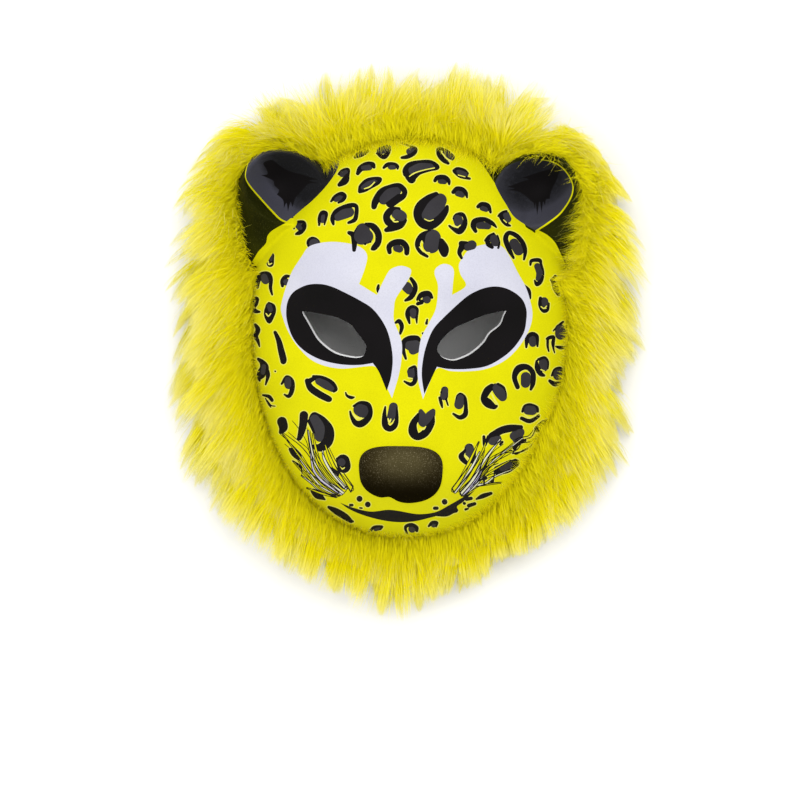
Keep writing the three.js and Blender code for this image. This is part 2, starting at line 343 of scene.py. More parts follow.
@dataclass(frozen=True)
class FaceForm:
    """The whole pressed sheet as heights over the table, on the sizes of the CAD solid."""

    half_width: float = 81.5
    widest_y: float = 10.0
    top_rise: float = 91.0
    chin_drop: float = 115.0
    cheek_fullness: float = 2.25
    dome_height: float = 60.0
    dome_shoulder: float = 2.4
    dome_edge_curve: float = 2.2
    thickness: float = 3.5
    crease: float = 1.2
    nearest: float = 20.0
    farthest: float = 150.0
    nose: NosePad = NosePad()
    ear: Ear = Ear()
    mounds: tuple[Mound, ...] = (
        Mound(0, -71, 29, 37, 17, 31),
        Mound(22, -78, 14, 13, 10, 5),
        Mound(0, -95, 17, 6, 9, 4.5),
        Mound(30, 27, 17, 12, 9, 3.5),
        Mound(33, 1, 17, 11, 10, -5),
        Mound(50, -30, 16, 15, 17, 4),
        Mound(0, 50, 26, 22, 22, 3),
    )

    def oval_share(self, x: Array, y: Array) -> Array:
        """How far a place is from the middle of the face to its edge: 1 on the edge.

        Args:
            x: x of each place.
            y: y of each place.

        Returns:
            The share at each place.
        """
        rise = y - self.widest_y
        power = self.cheek_fullness
        above = np.hypot(x / self.half_width, rise / self.top_rise)
        across, along = np.abs(x / self.half_width), np.abs(rise / self.chin_drop)
        return np.where(rise > 0, above, (across**power + along**power) ** (1 / power))

    def face(self, x: Array, y: Array) -> Array:
        """The smooth face without nose and ears.

        Args:
            x: x of each place.
            y: y of each place.

        Returns:
            A height for each place.
        """
        rho = self.oval_share(x, y)
        kept = np.minimum(rho, 1.0)
        dome = self.dome_height * (1 - kept**self.dome_shoulder) ** (1 / self.dome_edge_curve)
        fade = np.sqrt(1 - kept**8)
        lifted = dome + fade * sum(mound.lift(x, y) for mound in self.mounds)
        return np.where(rho < 1, lifted, -8 * self.dome_height * (rho - 1))

    def front(self, x: Array, y: Array) -> Array:
        """The front of the sheet: face, nose and both ears."""
        plain = self.face(x, y) + np.where(self.oval_share(x, y) < 1, self.nose.lift(x, y), 0)
        return smooth_max(plain, self.ear.height(x, y), self.crease)

    def back(self, x: Array, y: Array) -> Array:
        """The back of the sheet: one foam thickness in from the front, everywhere.

        Args:
            x: x of each place.
            y: y of each place.

        Returns:
            A height for each place.
        """
        lowest_face = self.face(x, y) - self.thickness
        lowest_ear = self.ear.height(x, y) - self.thickness
        for share in (0.4, 0.75, 0.97):
            drop = self.thickness * math.sqrt(1 - share**2)
            for dx, dy in polar(even_turns(12), share * self.thickness):
                lowest_face = np.minimum(lowest_face, self.face(x + dx, y + dy) - drop)
                lowest_ear = np.minimum(lowest_ear, self.ear.height(x + dx, y + dy) - drop)
        return np.maximum(lowest_face, lowest_ear)

    def reach(
        self, height: Callable[[Array, Array], Array], turn: Array, level: float, gap: float = 0.5
    ) -> Array:
        """Radius from the middle of the face at which a surface falls to a level.

        Args:
            height: The surface, as a function of x and y.
            turn: The angles of the rays.
            level: The height looked for.
            gap: The distance between the first places tried.

        Returns:
            A radius for each ray.
        """
        c, s = np.cos(turn), np.sin(turn)
        radii = np.arange(self.farthest, self.nearest, -gap)
        above = height(c[:, None] * radii, s[:, None] * radii) > level
        outside = radii[np.maximum(above.argmax(axis=1) - 1, 0)]
        return bisect(outside - gap, outside, lambda r: height(c * r, s * r) > level, 24)[0]

    def rim_at(self, x: Array, y: Array) -> Array:
        """Radius of the sheet's front edge on the table, in the direction of a place."""
        return at_angle(np.arctan2(y, x), *self.rim_table)

    @cached_property
    def rim_table(self) -> tuple[Array, Array]:
        """Angles, and the radius of the sheet's front edge on the table at each."""
        turn = even_turns(720)
        return turn, self.reach(self.front, turn, 0.0)


# ------------------------------------------------------------------ the studio camera


@dataclass(frozen=True)
class StudioCamera:
    """The photograph's view: straight down on the mask, a little from its right."""

    aim: tuple[float, float, float] = (-0.4, -32.8, 39.0)
    distance: float = 1600.0
    yaw: float = math.radians(3.4)
    roll: float = math.radians(0.6)
    lens: float = 147.0
    sensor: float = 36.0
    picture: float = 800.0
    highest: float = 90.0
    just_inside: float = 0.997

    @property
    def focal(self) -> float:
        """The lens's length in the picture's pixels."""
        return self.lens / self.sensor * self.picture

    def axes(self) -> tuple[Array, Array, Array]:
        """Right, up and backward directions of the camera in the row frame.

        Returns:
            Three directions of length one.
        """
        back = np.array([math.sin(self.yaw), 0.0, math.cos(self.yaw)])
        right = np.array([math.cos(self.yaw), 0.0, -math.sin(self.yaw)])
        up = np.array([0.0, 1.0, 0.0])
        c, s = math.cos(self.roll), math.sin(self.roll)
        return right * c + up * s, up * c - right * s, back

    def place(self) -> Array:
        """Where the camera stands, in millimetres of the row frame."""
        return np.array(self.aim) + self.axes()[2] * self.distance

    def pixels(self, points: Array) -> Array:
        """Where points in face millimetres show in the picture.

        Args:
            points: Rows of x, y and z about the middle of the face.

        Returns:
            Rows of picture x and y, y downwards.
        """
        right, up, back = self.axes()
        seen = points + FACE_IN_ROW - self.place()
        depth = -(seen @ back)
        across, along = seen @ right / depth * self.focal, seen @ up / depth * self.focal
        return np.column_stack([self.picture / 2 + across, self.picture / 2 - along])

    def land(self, pixels: Array, form: FaceForm) -> Array:
        """Follow the rays of picture points down to the pressed sheet.

        Args:
            pixels: Rows of picture x and y.
            form: The sheet that the rays meet.

        Returns:
            Rows of x and y in face millimetres; a ray that misses ends just inside the edge.
        """
        right, up, back = self.axes()
        across, down = (pixels - self.picture / 2).T
        rays = (np.outer(across, right) - np.outer(down, up)) / self.focal - back
        start = self.place() - FACE_IN_ROW

        def at(z: Array | float, rows: Array | slice = slice(None)) -> tuple[Array, Array]:
            """The place at a height on every ray, or on some of them."""
            t = (z - start[2]) / rays[rows, 2]
            return start[0] + rays[rows, 0] * t, start[1] + rays[rows, 1] * t

        low = np.ones(len(pixels))
        falling = np.arange(len(pixels))
        for level in np.arange(self.highest, -1.0, -1.0):
            hit = form.front(*at(level, falling)) >= level
            low[falling[hit]] = level
            falling = falling[~hit]
        low, _ = bisect(low, low + 1.0, lambda z: form.front(*at(z)) >= z, 14)
        x, y = at(low)
        radius = np.hypot(x, y)
        edge = form.rim_at(x, y) * self.just_inside
        held = np.minimum(radius, edge) / np.maximum(radius, 1e-9)
        return np.column_stack([x * held, y * held])

    def build(self) -> bpy.types.Object:
        """Make the camera and set it as the scene's.

        Returns:
            The camera.
        """
        data = bpy.data.cameras.new("studio_camera")
        data.lens, data.sensor_width = self.lens, self.sensor
        data.clip_start, data.clip_end = 0.05, 20.0
        camera = bpy.data.objects.new("studio_camera", data)
        bpy.context.scene.collection.objects.link(camera)
        right, up, back = self.axes()
        turn = Matrix(np.column_stack([right, up, back]).tolist()).to_4x4()
        camera.matrix_world = Matrix.Translation(Vector(self.place() * MM)) @ turn
        bpy.context.scene.camera = camera
        return camera


@dataclass(frozen=True)
class EyeHole:
    """A hole cut through the sheet on a slant, by its outline in the picture's pixels.

    The slant is how far the cut moves in x and y for each millimetre that it rises.
    """

    outline: tuple[tuple[float, float], ...]
    slant: tuple[float, float]

    def cut(self, camera: StudioCamera, form: FaceForm) -> tuple[Array, Array]:
        """Cut the hole.

        Args:
            camera: The view in which the outline was measured.
            form: The sheet that is cut.

        Returns:
            Its edges on the front and on the back of the sheet, as points with heights.
        """
        flat = camera.land(flowing(self.outline, 1.0, closed=True), form)
        level = form.front(*flat.T)
        moved = flat
        for _ in range(25):
            z = form.back(*moved.T)
            moved = flat + np.outer(z - level, self.slant)
        return np.column_stack([flat, level]), np.column_stack([moved, z])


# ------------------------------------------------------------------ finishes


class Ink(Enum):
    """The parts of the printed cover, in the order of their material slots."""

    YELLOW = 0
    HALO = 1
    WHITE = 2
    GREY = 3
    BLACK = 4
    EAR_LEFT = 5
    EAR_RIGHT = 6
    EAR_WALL_AND_SHADOW = 7
    NOSE = 8
    WHISKER = 9
    LILAC = 10


class NodeKit:
    """Short ways to add and join shader nodes in one material."""

    def __init__(self, name: str) -> None:
        """Start a material with only its output and a Principled shader.

        Args:
            name: The material's name.
        """
        self.material = bpy.data.materials.new(name)
        self.material.use_nodes = True
        self.tree = self.material.node_tree
        self.tree.nodes.clear()
        self.output = self.add("ShaderNodeOutputMaterial")
        self.shader = self.add("ShaderNodeBsdfPrincipled")
        self.join(self.shader.outputs["BSDF"], self.output.inputs["Surface"])

    def add(self, kind: str, **settings: object) -> bpy.types.Node:
        """Add a node and set its properties.

        Args:
            kind: Blender's name for the node.
            settings: Its properties.

        Returns:
            The node.
        """
        node = self.tree.nodes.new(kind)
        for key, value in settings.items():
            setattr(node, key, value)
        return node

    def join(self, source: bpy.types.NodeSocket, target: bpy.types.NodeSocket) -> None:
        """Link two sockets."""
        self.tree.links.new(source, target)

    def noise(self, scale: float, detail: float = 3.0, rough: float = 0.5) -> bpy.types.NodeSocket:
        """A noise over the object's own coordinates, in waves per metre.

        Args:
            scale: Waves per metre.
            detail: How many finer layers it has.
            rough: How strong the finer layers are.

        Returns:
            The noise's value.
        """
        node = self.add("ShaderNodeTexNoise")
        node.inputs["Scale"].default_value = scale
        node.inputs["Detail"].default_value = detail
        node.inputs["Roughness"].default_value = rough
        self.join(self.place(), node.inputs["Vector"])
        return node.outputs["Fac"]

    def place(self) -> bpy.types.NodeSocket:
        """The object's own coordinates.

        Returns:
            The coordinates, from one node for the whole material.
        """
        node = self.tree.nodes.get("place")
        if node is None:
            node = self.add("ShaderNodeTexCoord", name="place")
        return node.outputs["Object"]

    def ramp(
        self, source: bpy.types.NodeSocket, stops: Sequence[tuple[float, Sequence[float]]]
    ) -> bpy.types.NodeSocket:
        """A colour ramp over a value.

        Args:
            source: The value that drives the ramp.
            stops: Each stop's place and colour.

        Returns:
            The ramp's colour.
        """
        node = self.add("ShaderNodeValToRGB")
        parts = node.color_ramp.elements
        while len(parts) < len(stops):
            parts.new(0.5)
        for part, (spot, colour) in zip(parts, stops):
            part.position = spot
            part.color = (*colour, 1.0)
        self.join(source, node.inputs["Fac"])
        return node.outputs["Color"]

    def greys(self, source: bpy.types.NodeSocket, start: float, end: float,
              low: float = 0.0, high: float = 1.0) -> bpy.types.NodeSocket:
        """A ramp from a low grey at the start of a span to a high one at its end."""
        return self.ramp(source, [(start, (low,) * 3), (end, (high,) * 3)])

    def mix(
        self,
        share: bpy.types.NodeSocket | float,
        a: bpy.types.NodeSocket | Sequence[float],
        b: bpy.types.NodeSocket | Sequence[float],
        blend: str = "MIX",
    ) -> bpy.types.NodeSocket:
        """Mix two colours.

        Args:
            share: How much of the second colour shows, as a socket or a number.
            a: The first colour.
            b: The second colour.
            blend: Blender's name for the way that they mix.

        Returns:
            The mixed colour.
        """
        node = self.add("ShaderNodeMixRGB", blend_type=blend)
        for value, socket in zip((share, a, b), node.inputs):
            if isinstance(value, bpy.types.NodeSocket):
                self.join(value, socket)
            elif isinstance(value, (int, float)):
                socket.default_value = value
            else:
                socket.default_value = (*value, 1.0)
        return node.outputs["Color"]

    def bump(self, source: bpy.types.NodeSocket, strength: float, depth: float) -> None:
        """Raise the surface by a value, over any bump that it already has.

        Args:
            source: The value.
            strength: How much of it shows.
            depth: Its depth in metres.
        """
        node = self.add("ShaderNodeBump")
        node.inputs["Strength"].default_value = strength
        node.inputs["Distance"].default_value = depth
        self.join(source, node.inputs["Height"])
        socket = self.shader.inputs["Normal"]
        if socket.is_linked:
            self.join(socket.links[0].from_socket, node.inputs["Normal"])
        self.join(node.outputs["Normal"], socket)


@dataclass(frozen=True)
class KnitPrint(ABC):
    """A print on the brushed knit that covers the foam.

    The fade, where there is one, is painted shade that darkens the colour towards the bottom: a
    level of y in metres at which the colour starts to fall to its low colour, and one at which it
    has. Scales are in waves per metre, and each bump is a strength and a depth in metres.
    """

    name: str
    _: KW_ONLY
    roughness: float = 0.7
    gloss: float = 0.07
    sheen: float = 0.02
    speckle: float = 0.0
    speckle_colour: Colour = (0.5, 0.48, 0.3)
    fade: tuple[float, float] = (0.0, 0.0)
    low: Colour = (0.0, 0.0, 0.0)
    grain_scale: float = 1560.0
    speckle_scale: float = 1900.0
    weave_scale: float = 620.0
    nap_scale: float = 1500.0
    pucker_scale: float = 120.0
    weave_bump: tuple[float, float] = (0.10, 0.00012)
    nap_bump: tuple[float, float] = (0.25, 0.0002)
    pucker_bump: tuple[float, float] = (0.12, 0.0006)

    @abstractmethod
    def base(self, kit: NodeKit) -> bpy.types.NodeSocket:
        """The colour before its fade and grain."""

    def material(self) -> bpy.types.Material:
        """Build the finish's material."""
        kit = NodeKit(self.name)
        self.dress(kit, self.base(kit))
        return kit.material

    def dress(self, kit: NodeKit, colour: bpy.types.NodeSocket) -> None:
        """Give a colour the cover's knit, nap and speckle, and connect it.

        Args:
            kit: The material's nodes.
            colour: The colour before its grain.
        """
        shader = kit.shader.inputs
        grain = kit.greys(kit.noise(self.grain_scale, 2.0), 0.3, 0.6, low=0.86)
        colour = kit.mix(0.55, colour, grain, "MULTIPLY")
        if self.speckle:
            dots = kit.noise(self.speckle_scale, 1.0, 0.8)
            dots = kit.greys(dots, 0.60, 0.72, high=self.speckle)
            colour = kit.mix(dots, colour, self.speckle_colour)
        # Painted shade: the colour falls to its low colour towards the bottom.
        if any(self.fade):
            height = kit.add("ShaderNodeSeparateXYZ")
            kit.join(kit.place(), height.inputs["Vector"])
            span = kit.add("ShaderNodeMapRange", interpolation_type="SMOOTHSTEP")
            span.inputs["From Min"].default_value = self.fade[0]
            span.inputs["From Max"].default_value = self.fade[1]
            kit.join(height.outputs["Y"], span.inputs["Value"])
            colour = kit.mix(span.outputs["Result"], colour, self.low)
        kit.join(colour, shader["Base Color"])
        shader["Roughness"].default_value = self.roughness
        shader["Specular IOR Level"].default_value = self.gloss
        shader["Sheen Weight"].default_value = self.sheen
        shader["Sheen Roughness"].default_value = 0.5
        weave = kit.add("ShaderNodeTexWave", wave_type="BANDS", bands_direction="DIAGONAL")
        weave.inputs["Scale"].default_value = self.weave_scale
        weave.inputs["Distortion"].default_value = 3.0
        weave.inputs["Detail Scale"].default_value = 2.0
        kit.join(kit.place(), weave.inputs["Vector"])
        kit.bump(weave.outputs["Fac"], *self.weave_bump)
        kit.bump(kit.noise(self.nap_scale, 3.0, 0.6), *self.nap_bump)
        kit.bump(kit.noise(self.pucker_scale, 2.0), *self.pucker_bump)


@dataclass(frozen=True)
class PlainPrint(KnitPrint):
    """A print in one colour, a little uneven."""

    colour: Colour
    shade: Colour
    scale: float = 38.0

    def base(self, kit: NodeKit) -> bpy.types.NodeSocket:
        """The colour before its fade and grain."""
        return kit.ramp(kit.noise(self.scale, 2.0), [(0.35, self.shade), (0.62, self.colour)])


@dataclass(frozen=True)
class OvalPrintAndPaintedLight(KnitPrint):
    """A print that changes with ragged streaks from an oval's edge, at 0, to its middle, at 1, with
    painted light in it: in the ear cups the grey print darkens into painted shade in the hollow,
    and the nose has a painted highlight in its middle and painted shade at its edges.

    The oval is on the row's x and y, in metres, turned by an angle.
    """

    middle: tuple[float, float]
    half_sizes: tuple[float, float]
    stops: tuple[tuple[float, Colour], ...]
    turn: float = 0.0
    streaks: float = 0.34
    streak_scale: float = 420.0

    def base(self, kit: NodeKit) -> bpy.types.NodeSocket:
        """The colour before its fade and grain.

        Args:
            kit: The material's nodes.

        Returns:
            The colour.
        """
        oval = kit.add("ShaderNodeMapping", vector_type="TEXTURE")
        oval.inputs["Location"].default_value = (*self.middle, 0.0)
        oval.inputs["Rotation"].default_value = (0.0, 0.0, self.turn)
        oval.inputs["Scale"].default_value = (*self.half_sizes, 1.0)
        kit.join(kit.place(), oval.inputs["Vector"])
        depth = kit.add("ShaderNodeTexGradient", gradient_type="SPHERICAL")
        kit.join(oval.outputs["Vector"], depth.inputs["Vector"])
        ragged = kit.greys(kit.noise(self.streak_scale, 3.0, 0.7), 0.3, 0.7)
        return kit.ramp(kit.mix(self.streaks, depth.outputs["Fac"], ragged, "OVERLAY"), self.stops)


@dataclass(frozen=True)
class BareFoam:
    """Cut or moulded open foam with fine cells."""

    name: str
    colour: Colour
    shade: Colour
    cell_scale: float = 900.0

    def material(self) -> bpy.types.Material:
        """Build the finish's material.

        Returns:
            The material.
        """
        kit = NodeKit(self.name)
        shader = kit.shader.inputs
        cells = kit.add("ShaderNodeTexVoronoi")
        cells.inputs["Scale"].default_value = self.cell_scale
        kit.join(kit.place(), cells.inputs["Vector"])
        pitted = kit.ramp(cells.outputs["Distance"], [(0.1, self.shade), (0.5, self.colour)])
        soft = kit.greys(kit.noise(60.0), 0.3, 0.65, low=0.88)
        kit.join(kit.mix(1.0, pitted, soft, "MULTIPLY"), shader["Base Color"])
        shader["Roughness"].default_value = 0.9
        shader["Specular IOR Level"].default_value = 0.2
        kit.bump(cells.outputs["Distance"], 0.4, 0.0003)
        return kit.material


@dataclass(frozen=True)
class Pile:
    """Long pile: its colour runs from saturated roots to pale tips, whose paleness is painted light
    on the lit ends, and from painted shade on shaded tufts to painted light on lit ones.
    """

    name: str
    lit: tuple[Colour, Colour, Colour]
    deep: tuple[Colour, Colour, Colour]
    stops: tuple[float, float, float] = (0.05, 0.6, 1.0)
    through: float = 0.35

    def material(self) -> bpy.types.Material:
        """Build the finish's material, which reads the strands' own map.

        Returns:
            The material.
        """
        kit = NodeKit(self.name)
        shader = kit.shader.inputs
        strand = kit.add("ShaderNodeUVMap", uv_map=BAKE_MAP)
        parts = kit.add("ShaderNodeSeparateXYZ")
        kit.join(strand.outputs["UV"], parts.inputs["Vector"])
        along, tone = parts.outputs["Y"], parts.outputs["X"]
        lit = kit.ramp(along, list(zip(self.stops, self.lit)))
        deep = kit.ramp(along, list(zip(self.stops, self.deep)))
        colour = kit.mix(tone, deep, lit)
        kit.join(colour, shader["Base Color"])
        shader["Roughness"].default_value = 0.55
        shader["Specular IOR Level"].default_value = 0.04
        glow = kit.add("ShaderNodeBsdfTranslucent")
        kit.join(colour, glow.inputs["Color"])
        both = kit.add("ShaderNodeMixShader")
        both.inputs["Fac"].default_value = self.through
        kit.join(kit.shader.outputs["BSDF"], both.inputs[1])
        kit.join(glow.outputs["BSDF"], both.inputs[2])
        kit.join(both.outputs["Shader"], kit.output.inputs["Surface"])
        return kit.material


@dataclass(frozen=True)
class Pelt:
    """The short dense hair at the foot of the pile, and the knit that it grows from."""

    name: str
    colour: Colour
    shade: Colour
    hair_scale: float = 900.0

    def material(self) -> bpy.types.Material:
        """Build the finish's material.

        Returns:
            The material.
        """
        kit = NodeKit(self.name)
        shader = kit.shader.inputs
        hair = kit.noise(self.hair_scale, 4.0, 0.7)
        patches = kit.greys(kit.noise(45.0), 0.35, 0.65)
        mottled = kit.ramp(hair, [(0.3, self.shade), (0.65, self.colour)])
        kit.join(kit.mix(patches, mottled, self.colour), shader["Base Color"])
        shader["Roughness"].default_value = 0.9
        shader["Sheen Weight"].default_value = 0.3
        kit.bump(hair, 0.8, 0.001)
        return kit.material


@dataclass(frozen=True)
class TableTop:
    """The plain pale table."""

    name: str
    colour: Colour
    shade: Colour

    def material(self) -> bpy.types.Material:
        """Build the finish's material.

        Returns:
            The material.
        """
        kit = NodeKit(self.name)
        shader = kit.shader.inputs
        clouded = kit.ramp(kit.noise(3.0), [(0.3, self.shade), (0.7, self.colour)])
        kit.join(clouded, shader["Base Color"])
        shader["Roughness"].default_value = 0.85
        shader["Specular IOR Level"].default_value = 0.1
        return kit.material


COVER_FINISHES: dict[Ink, KnitPrint] = {
    Ink.YELLOW: PlainPrint(
        "print_yellow", (0.620, 0.590, 0.0012), (0.580, 0.550, 0.0012), gloss=0.03, sheen=0.01
    ),
    Ink.HALO: PlainPrint("print_pale_edge", (0.67, 0.65, 0.11), (0.63, 0.61, 0.09)),
    Ink.WHITE: PlainPrint("print_white", (0.555, 0.555, 0.625), (0.52, 0.52, 0.60)),
    Ink.GREY: PlainPrint("print_grey", (0.036, 0.034, 0.038), (0.025, 0.023, 0.026), gloss=0.05),
    Ink.BLACK: PlainPrint(
        "print_black", (0.0055, 0.0045, 0.0050), (0.004, 0.0035, 0.0035), gloss=0.05, sheen=0.01
    ),
    # The ear cups: a grey print that darkens towards the oval's middle into painted shade in the
    # cup's hollow.
    Ink.EAR_LEFT: OvalPrintAndPaintedLight(
        "ear_cup_left_painted_hollow_shade", (-0.0495, 0.0770), (0.0260, 0.0160),
        ((0.0, (0.050, 0.050, 0.067)), (0.14, (0.024, 0.024, 0.030)),
         (0.42, (0.009, 0.009, 0.010))),
        math.radians(-40), gloss=0.05, speckle=0.12, speckle_colour=(0.11, 0.11, 0.14),
    ),
    Ink.EAR_RIGHT: OvalPrintAndPaintedLight(
        "ear_cup_right_painted_hollow_shade", (0.0655, 0.0770), (0.0235, 0.0155),
        ((0.0, (0.044, 0.044, 0.058)), (0.16, (0.024, 0.024, 0.030)),
         (0.50, (0.010, 0.010, 0.012))),
        math.radians(28), gloss=0.05, speckle=0.12, speckle_colour=(0.11, 0.11, 0.14),
    ),
    # The ears' dark side print; the same ink paints the shadow wedge between the forehead and the
    # right ear.
    Ink.EAR_WALL_AND_SHADOW: PlainPrint(
        "ear_side_and_painted_shadow", (0.022, 0.024, 0.002), (0.010, 0.011, 0.001), gloss=0.02, sheen=0.0,
        speckle=0.40, speckle_colour=(0.09, 0.09, 0.025),
    ),
    # The nose: a dark print with a painted highlight in its middle, painted shade at its edges, and
    # painted shade that darkens its underside towards the bottom.
    Ink.NOSE: OvalPrintAndPaintedLight(
        "nose_print_painted_highlight_and_shade", (0.0045, -0.0630), (0.026, 0.021),
        ((0.05, (0.007, 0.005, 0.0015)), (0.35, (0.024, 0.018, 0.006)),
         (0.75, (0.060, 0.049, 0.020))),
        streaks=0.12, roughness=0.8, gloss=0.005, sheen=0.0,
        speckle=0.65, speckle_colour=(0.26, 0.22, 0.13),
        fade=(-0.060, -0.079), low=(0.0045, 0.003, 0.0004),
    ),
    Ink.WHISKER: PlainPrint("print_whisker", (0.66, 0.66, 0.50), (0.60, 0.60, 0.42)),
    Ink.LILAC: PlainPrint("print_lilac", (0.53, 0.50, 0.62), (0.46, 0.43, 0.56)),
}
CUT_FOAM = BareFoam("cut_foam_edge", (0.92, 0.92, 0.92), (0.86, 0.86, 0.86))
INNER_FOAM = BareFoam("inner_foam", (0.50, 0.49, 0.44), (0.34, 0.33, 0.28))
# The pile's pale tip colours are painted light on the lit ends of the hair; the deep colours are
# painted shade for shaded tufts.
LONG_PILE = Pile(
    "long_pile",
    lit=((0.93, 0.84, 0.003), (0.96, 0.885, 0.009), (0.99, 0.955, 0.62)),
    deep=((0.85, 0.75, 0.001), (0.90, 0.81, 0.001), (0.955, 0.88, 0.14)),
)
PELT = Pelt("pile_foot", (0.93, 0.83, 0.004), (0.82, 0.72, 0.003))
BACKING = BareFoam("ruff_backing", (0.60, 0.54, 0.14), (0.44, 0.40, 0.09))
TABLE_TOP = TableTop("pale_table", (0.90, 0.90, 0.90), (0.88, 0.88, 0.88))


# ------------------------------------------------------------------ the print

Path = Sequence[tuple[float, float, float]]

# On most sheets, 240 of the picture's pixels were enlarged to 1,568.
SHEET_SCALE = 1568 / 240


@dataclass(frozen=True)
class Spot:
    """One printed rosette or mark: brush strokes of ink, a grey core and a pale slit.

    A stroke is a row of points, each with the brush's width there, in the sheet's pixels. A spot
    over white is printed on top of the white patch that it meets.
    """

    ink: tuple[Path, ...]
    core: tuple[Path, ...] = ()
    slit: tuple[Path, ...] = ()
    over_white: bool = False


@dataclass(frozen=True)
class Whisker:
    """One printed whisker: a tapering strip of one colour between fine black lines."""

    path: Path
    ink: Ink


@dataclass(frozen=True)
class Sheet:
    """A part of the photograph, enlarged, on which marks were measured."""

    corner: tuple[float, float]
    enlarged: float = SHEET_SCALE

    def to_picture(self, points: Array) -> Array:
        """Change the sheet's pixels to the picture's."""
        return np.array(self.corner) + points / self.enlarged

    def from_picture(self, pixels: Array) -> Array:
        """Change the picture's pixels to the sheet's."""
        return (pixels - np.array(self.corner)) * self.enlarged


def brush_distance(
    strokes: Iterable[Path], points: Array, grow: float = 0.0, gap: float = 2.4
) -> Array:
    """How far points lie outside a set of brush strokes.

    Args:
        strokes: The strokes, each a row of x, y and width.
        points: Rows of x and y.
        grow: How much wider than drawn the strokes are, on each side.
        gap: The greatest distance between two places of the brush.

    Returns:
        A distance for each point, negative inside a stroke.
    """
    nearest = np.full(len(points), 1e9)
    x, y = points[:, :1], points[:, 1:]
    for stroke in strokes:
        line = flowing(stroke, gap, closed=False)
        gaps = np.hypot(x - line[:, 0], y - line[:, 1]) - line[:, 2] / 2
        nearest = np.minimum(nearest, gaps.min(axis=1))
    return nearest - grow


def contours(values: Array, corner: Array, step: float) -> list[Array]:
    """Closed lines on which gridded values change sign.

    Args:
        values: The values, indexed by row then column, positive all round the edge.
        corner: x and y of the first value.
        step: The grid's spacing.

    Returns:
        The points of each closed line.
    """
    inside = values < 0
    rows, columns = values.shape
    mixed = inside[:-1, :-1].astype(int) + inside[1:, :-1] + inside[:-1, 1:] + inside[1:, 1:]
    links: dict[tuple[int, int, int], list[tuple[int, int, int]]] = {}
    for i, j in np.argwhere((mixed > 0) & (mixed < 4)):
        sides = [
            ((i, j), (i, j + 1), (0, i, j)),
            ((i, j + 1), (i + 1, j + 1), (1, i, j + 1)),
            ((i + 1, j), (i + 1, j + 1), (0, i + 1, j)),
            ((i, j), (i + 1, j), (1, i, j)),
        ]
        crossed = [edge for a, b, edge in sides if inside[a] != inside[b]]
        for a, b in zip(crossed[::2], crossed[1::2]):
            links.setdefault(a, []).append(b)
            links.setdefault(b, []).append(a)

    def spot(edge: tuple[int, int, int]) -> tuple[float, float]:
        """Where the values cross zero on one grid edge.

        Args:
            edge: The edge's direction, row and column.

        Returns:
            x and y.
        """
        kind, i, j = edge
        a = values[i, j]
        b = values[i, j + 1] if kind == 0 else values[i + 1, j]
        share = a / (a - b)
        x, y = (j + share, i) if kind == 0 else (j, i + share)
        return corner[0] + x * step, corner[1] + y * step

    loops, used = [], set()
    for first in links:
        if first in used:
            continue
        line, before, now = [], None, first
        while now not in used:
            used.add(now)
            line.append(spot(now))
            onward = [edge for edge in links[now] if edge != before and edge not in used]
            if not onward:
                break
            before, now = now, onward[0]
        if len(line) > 5:
            loops.append(np.array(line))
    return loops


def thin_out(loop: Array, gap: float) -> Array:
    """A loop without the points that lie nearer than a gap to the one before.

    Args:
        loop: The points of the loop.
        gap: The least distance.

    Returns:
        The points kept.
    """
    kept = [loop[0]]
    for point in loop[1:]:
        if np.linalg.norm(point - kept[-1]) >= gap:
            kept.append(point)
    return np.array(kept)


def within(outline: Array, points: Array) -> Array:
    """Which points lie inside a closed outline.

    Args:
        outline: The outline's points.
        points: Rows of x and y.

    Returns:
        Whether each point is inside.
    """
    x, y = points[:, :1], points[:, 1:]
    ax, ay = outline[:, 0][None], outline[:, 1][None]
    bx, by = np.roll(ax, -1, axis=1), np.roll(ay, -1, axis=1)
    crosses = (ay > y) != (by > y)
    meet = (bx - ax) * (y - ay) / np.where(by == ay, 1e-12, by - ay) + ax
    return (crosses & (x < meet)).sum(axis=1) % 2 == 1


def clear_of(taken: Array, added: Array, gap: float, size: float = 400.0) -> Array:
    """The added points that aren't nearly on top of taken ones.

    Args:
        taken: Rows of x and y.
        added: Rows of x and y.
        gap: About how near is too near.
        size: The width of the square round nought that holds every point.

    Returns:
        The rows of added points that are clear.
    """
    cell = gap / 1.5
    count = int(size / cell) + 3
    near = np.zeros((count, count), bool)
    i, j = ((taken + size / 2) / cell).astype(int).T
    for di in (-1, 0, 1):
        for dj in (-1, 0, 1):
            near[i + di, j + dj] = True
    i, j = ((added + size / 2) / cell).astype(int).T
    return added[~near[i, j]]


def gathered(lines: Sequence[tuple[Array, bool]]) -> tuple[Array, Array]:
    """Put the points of several lines in one list.

    Args:
        lines: The points of each line, and whether it is closed.

    Returns:
        All the points, and the edges along the lines as pairs of point numbers.
    """
    edges, total = [], 0
    for points, closed in lines:
        joined = chain(len(points), total)
        edges.append(joined if closed else joined[:-1])
        total += len(points)
    return np.concatenate([points for points, _ in lines]), np.concatenate(edges)


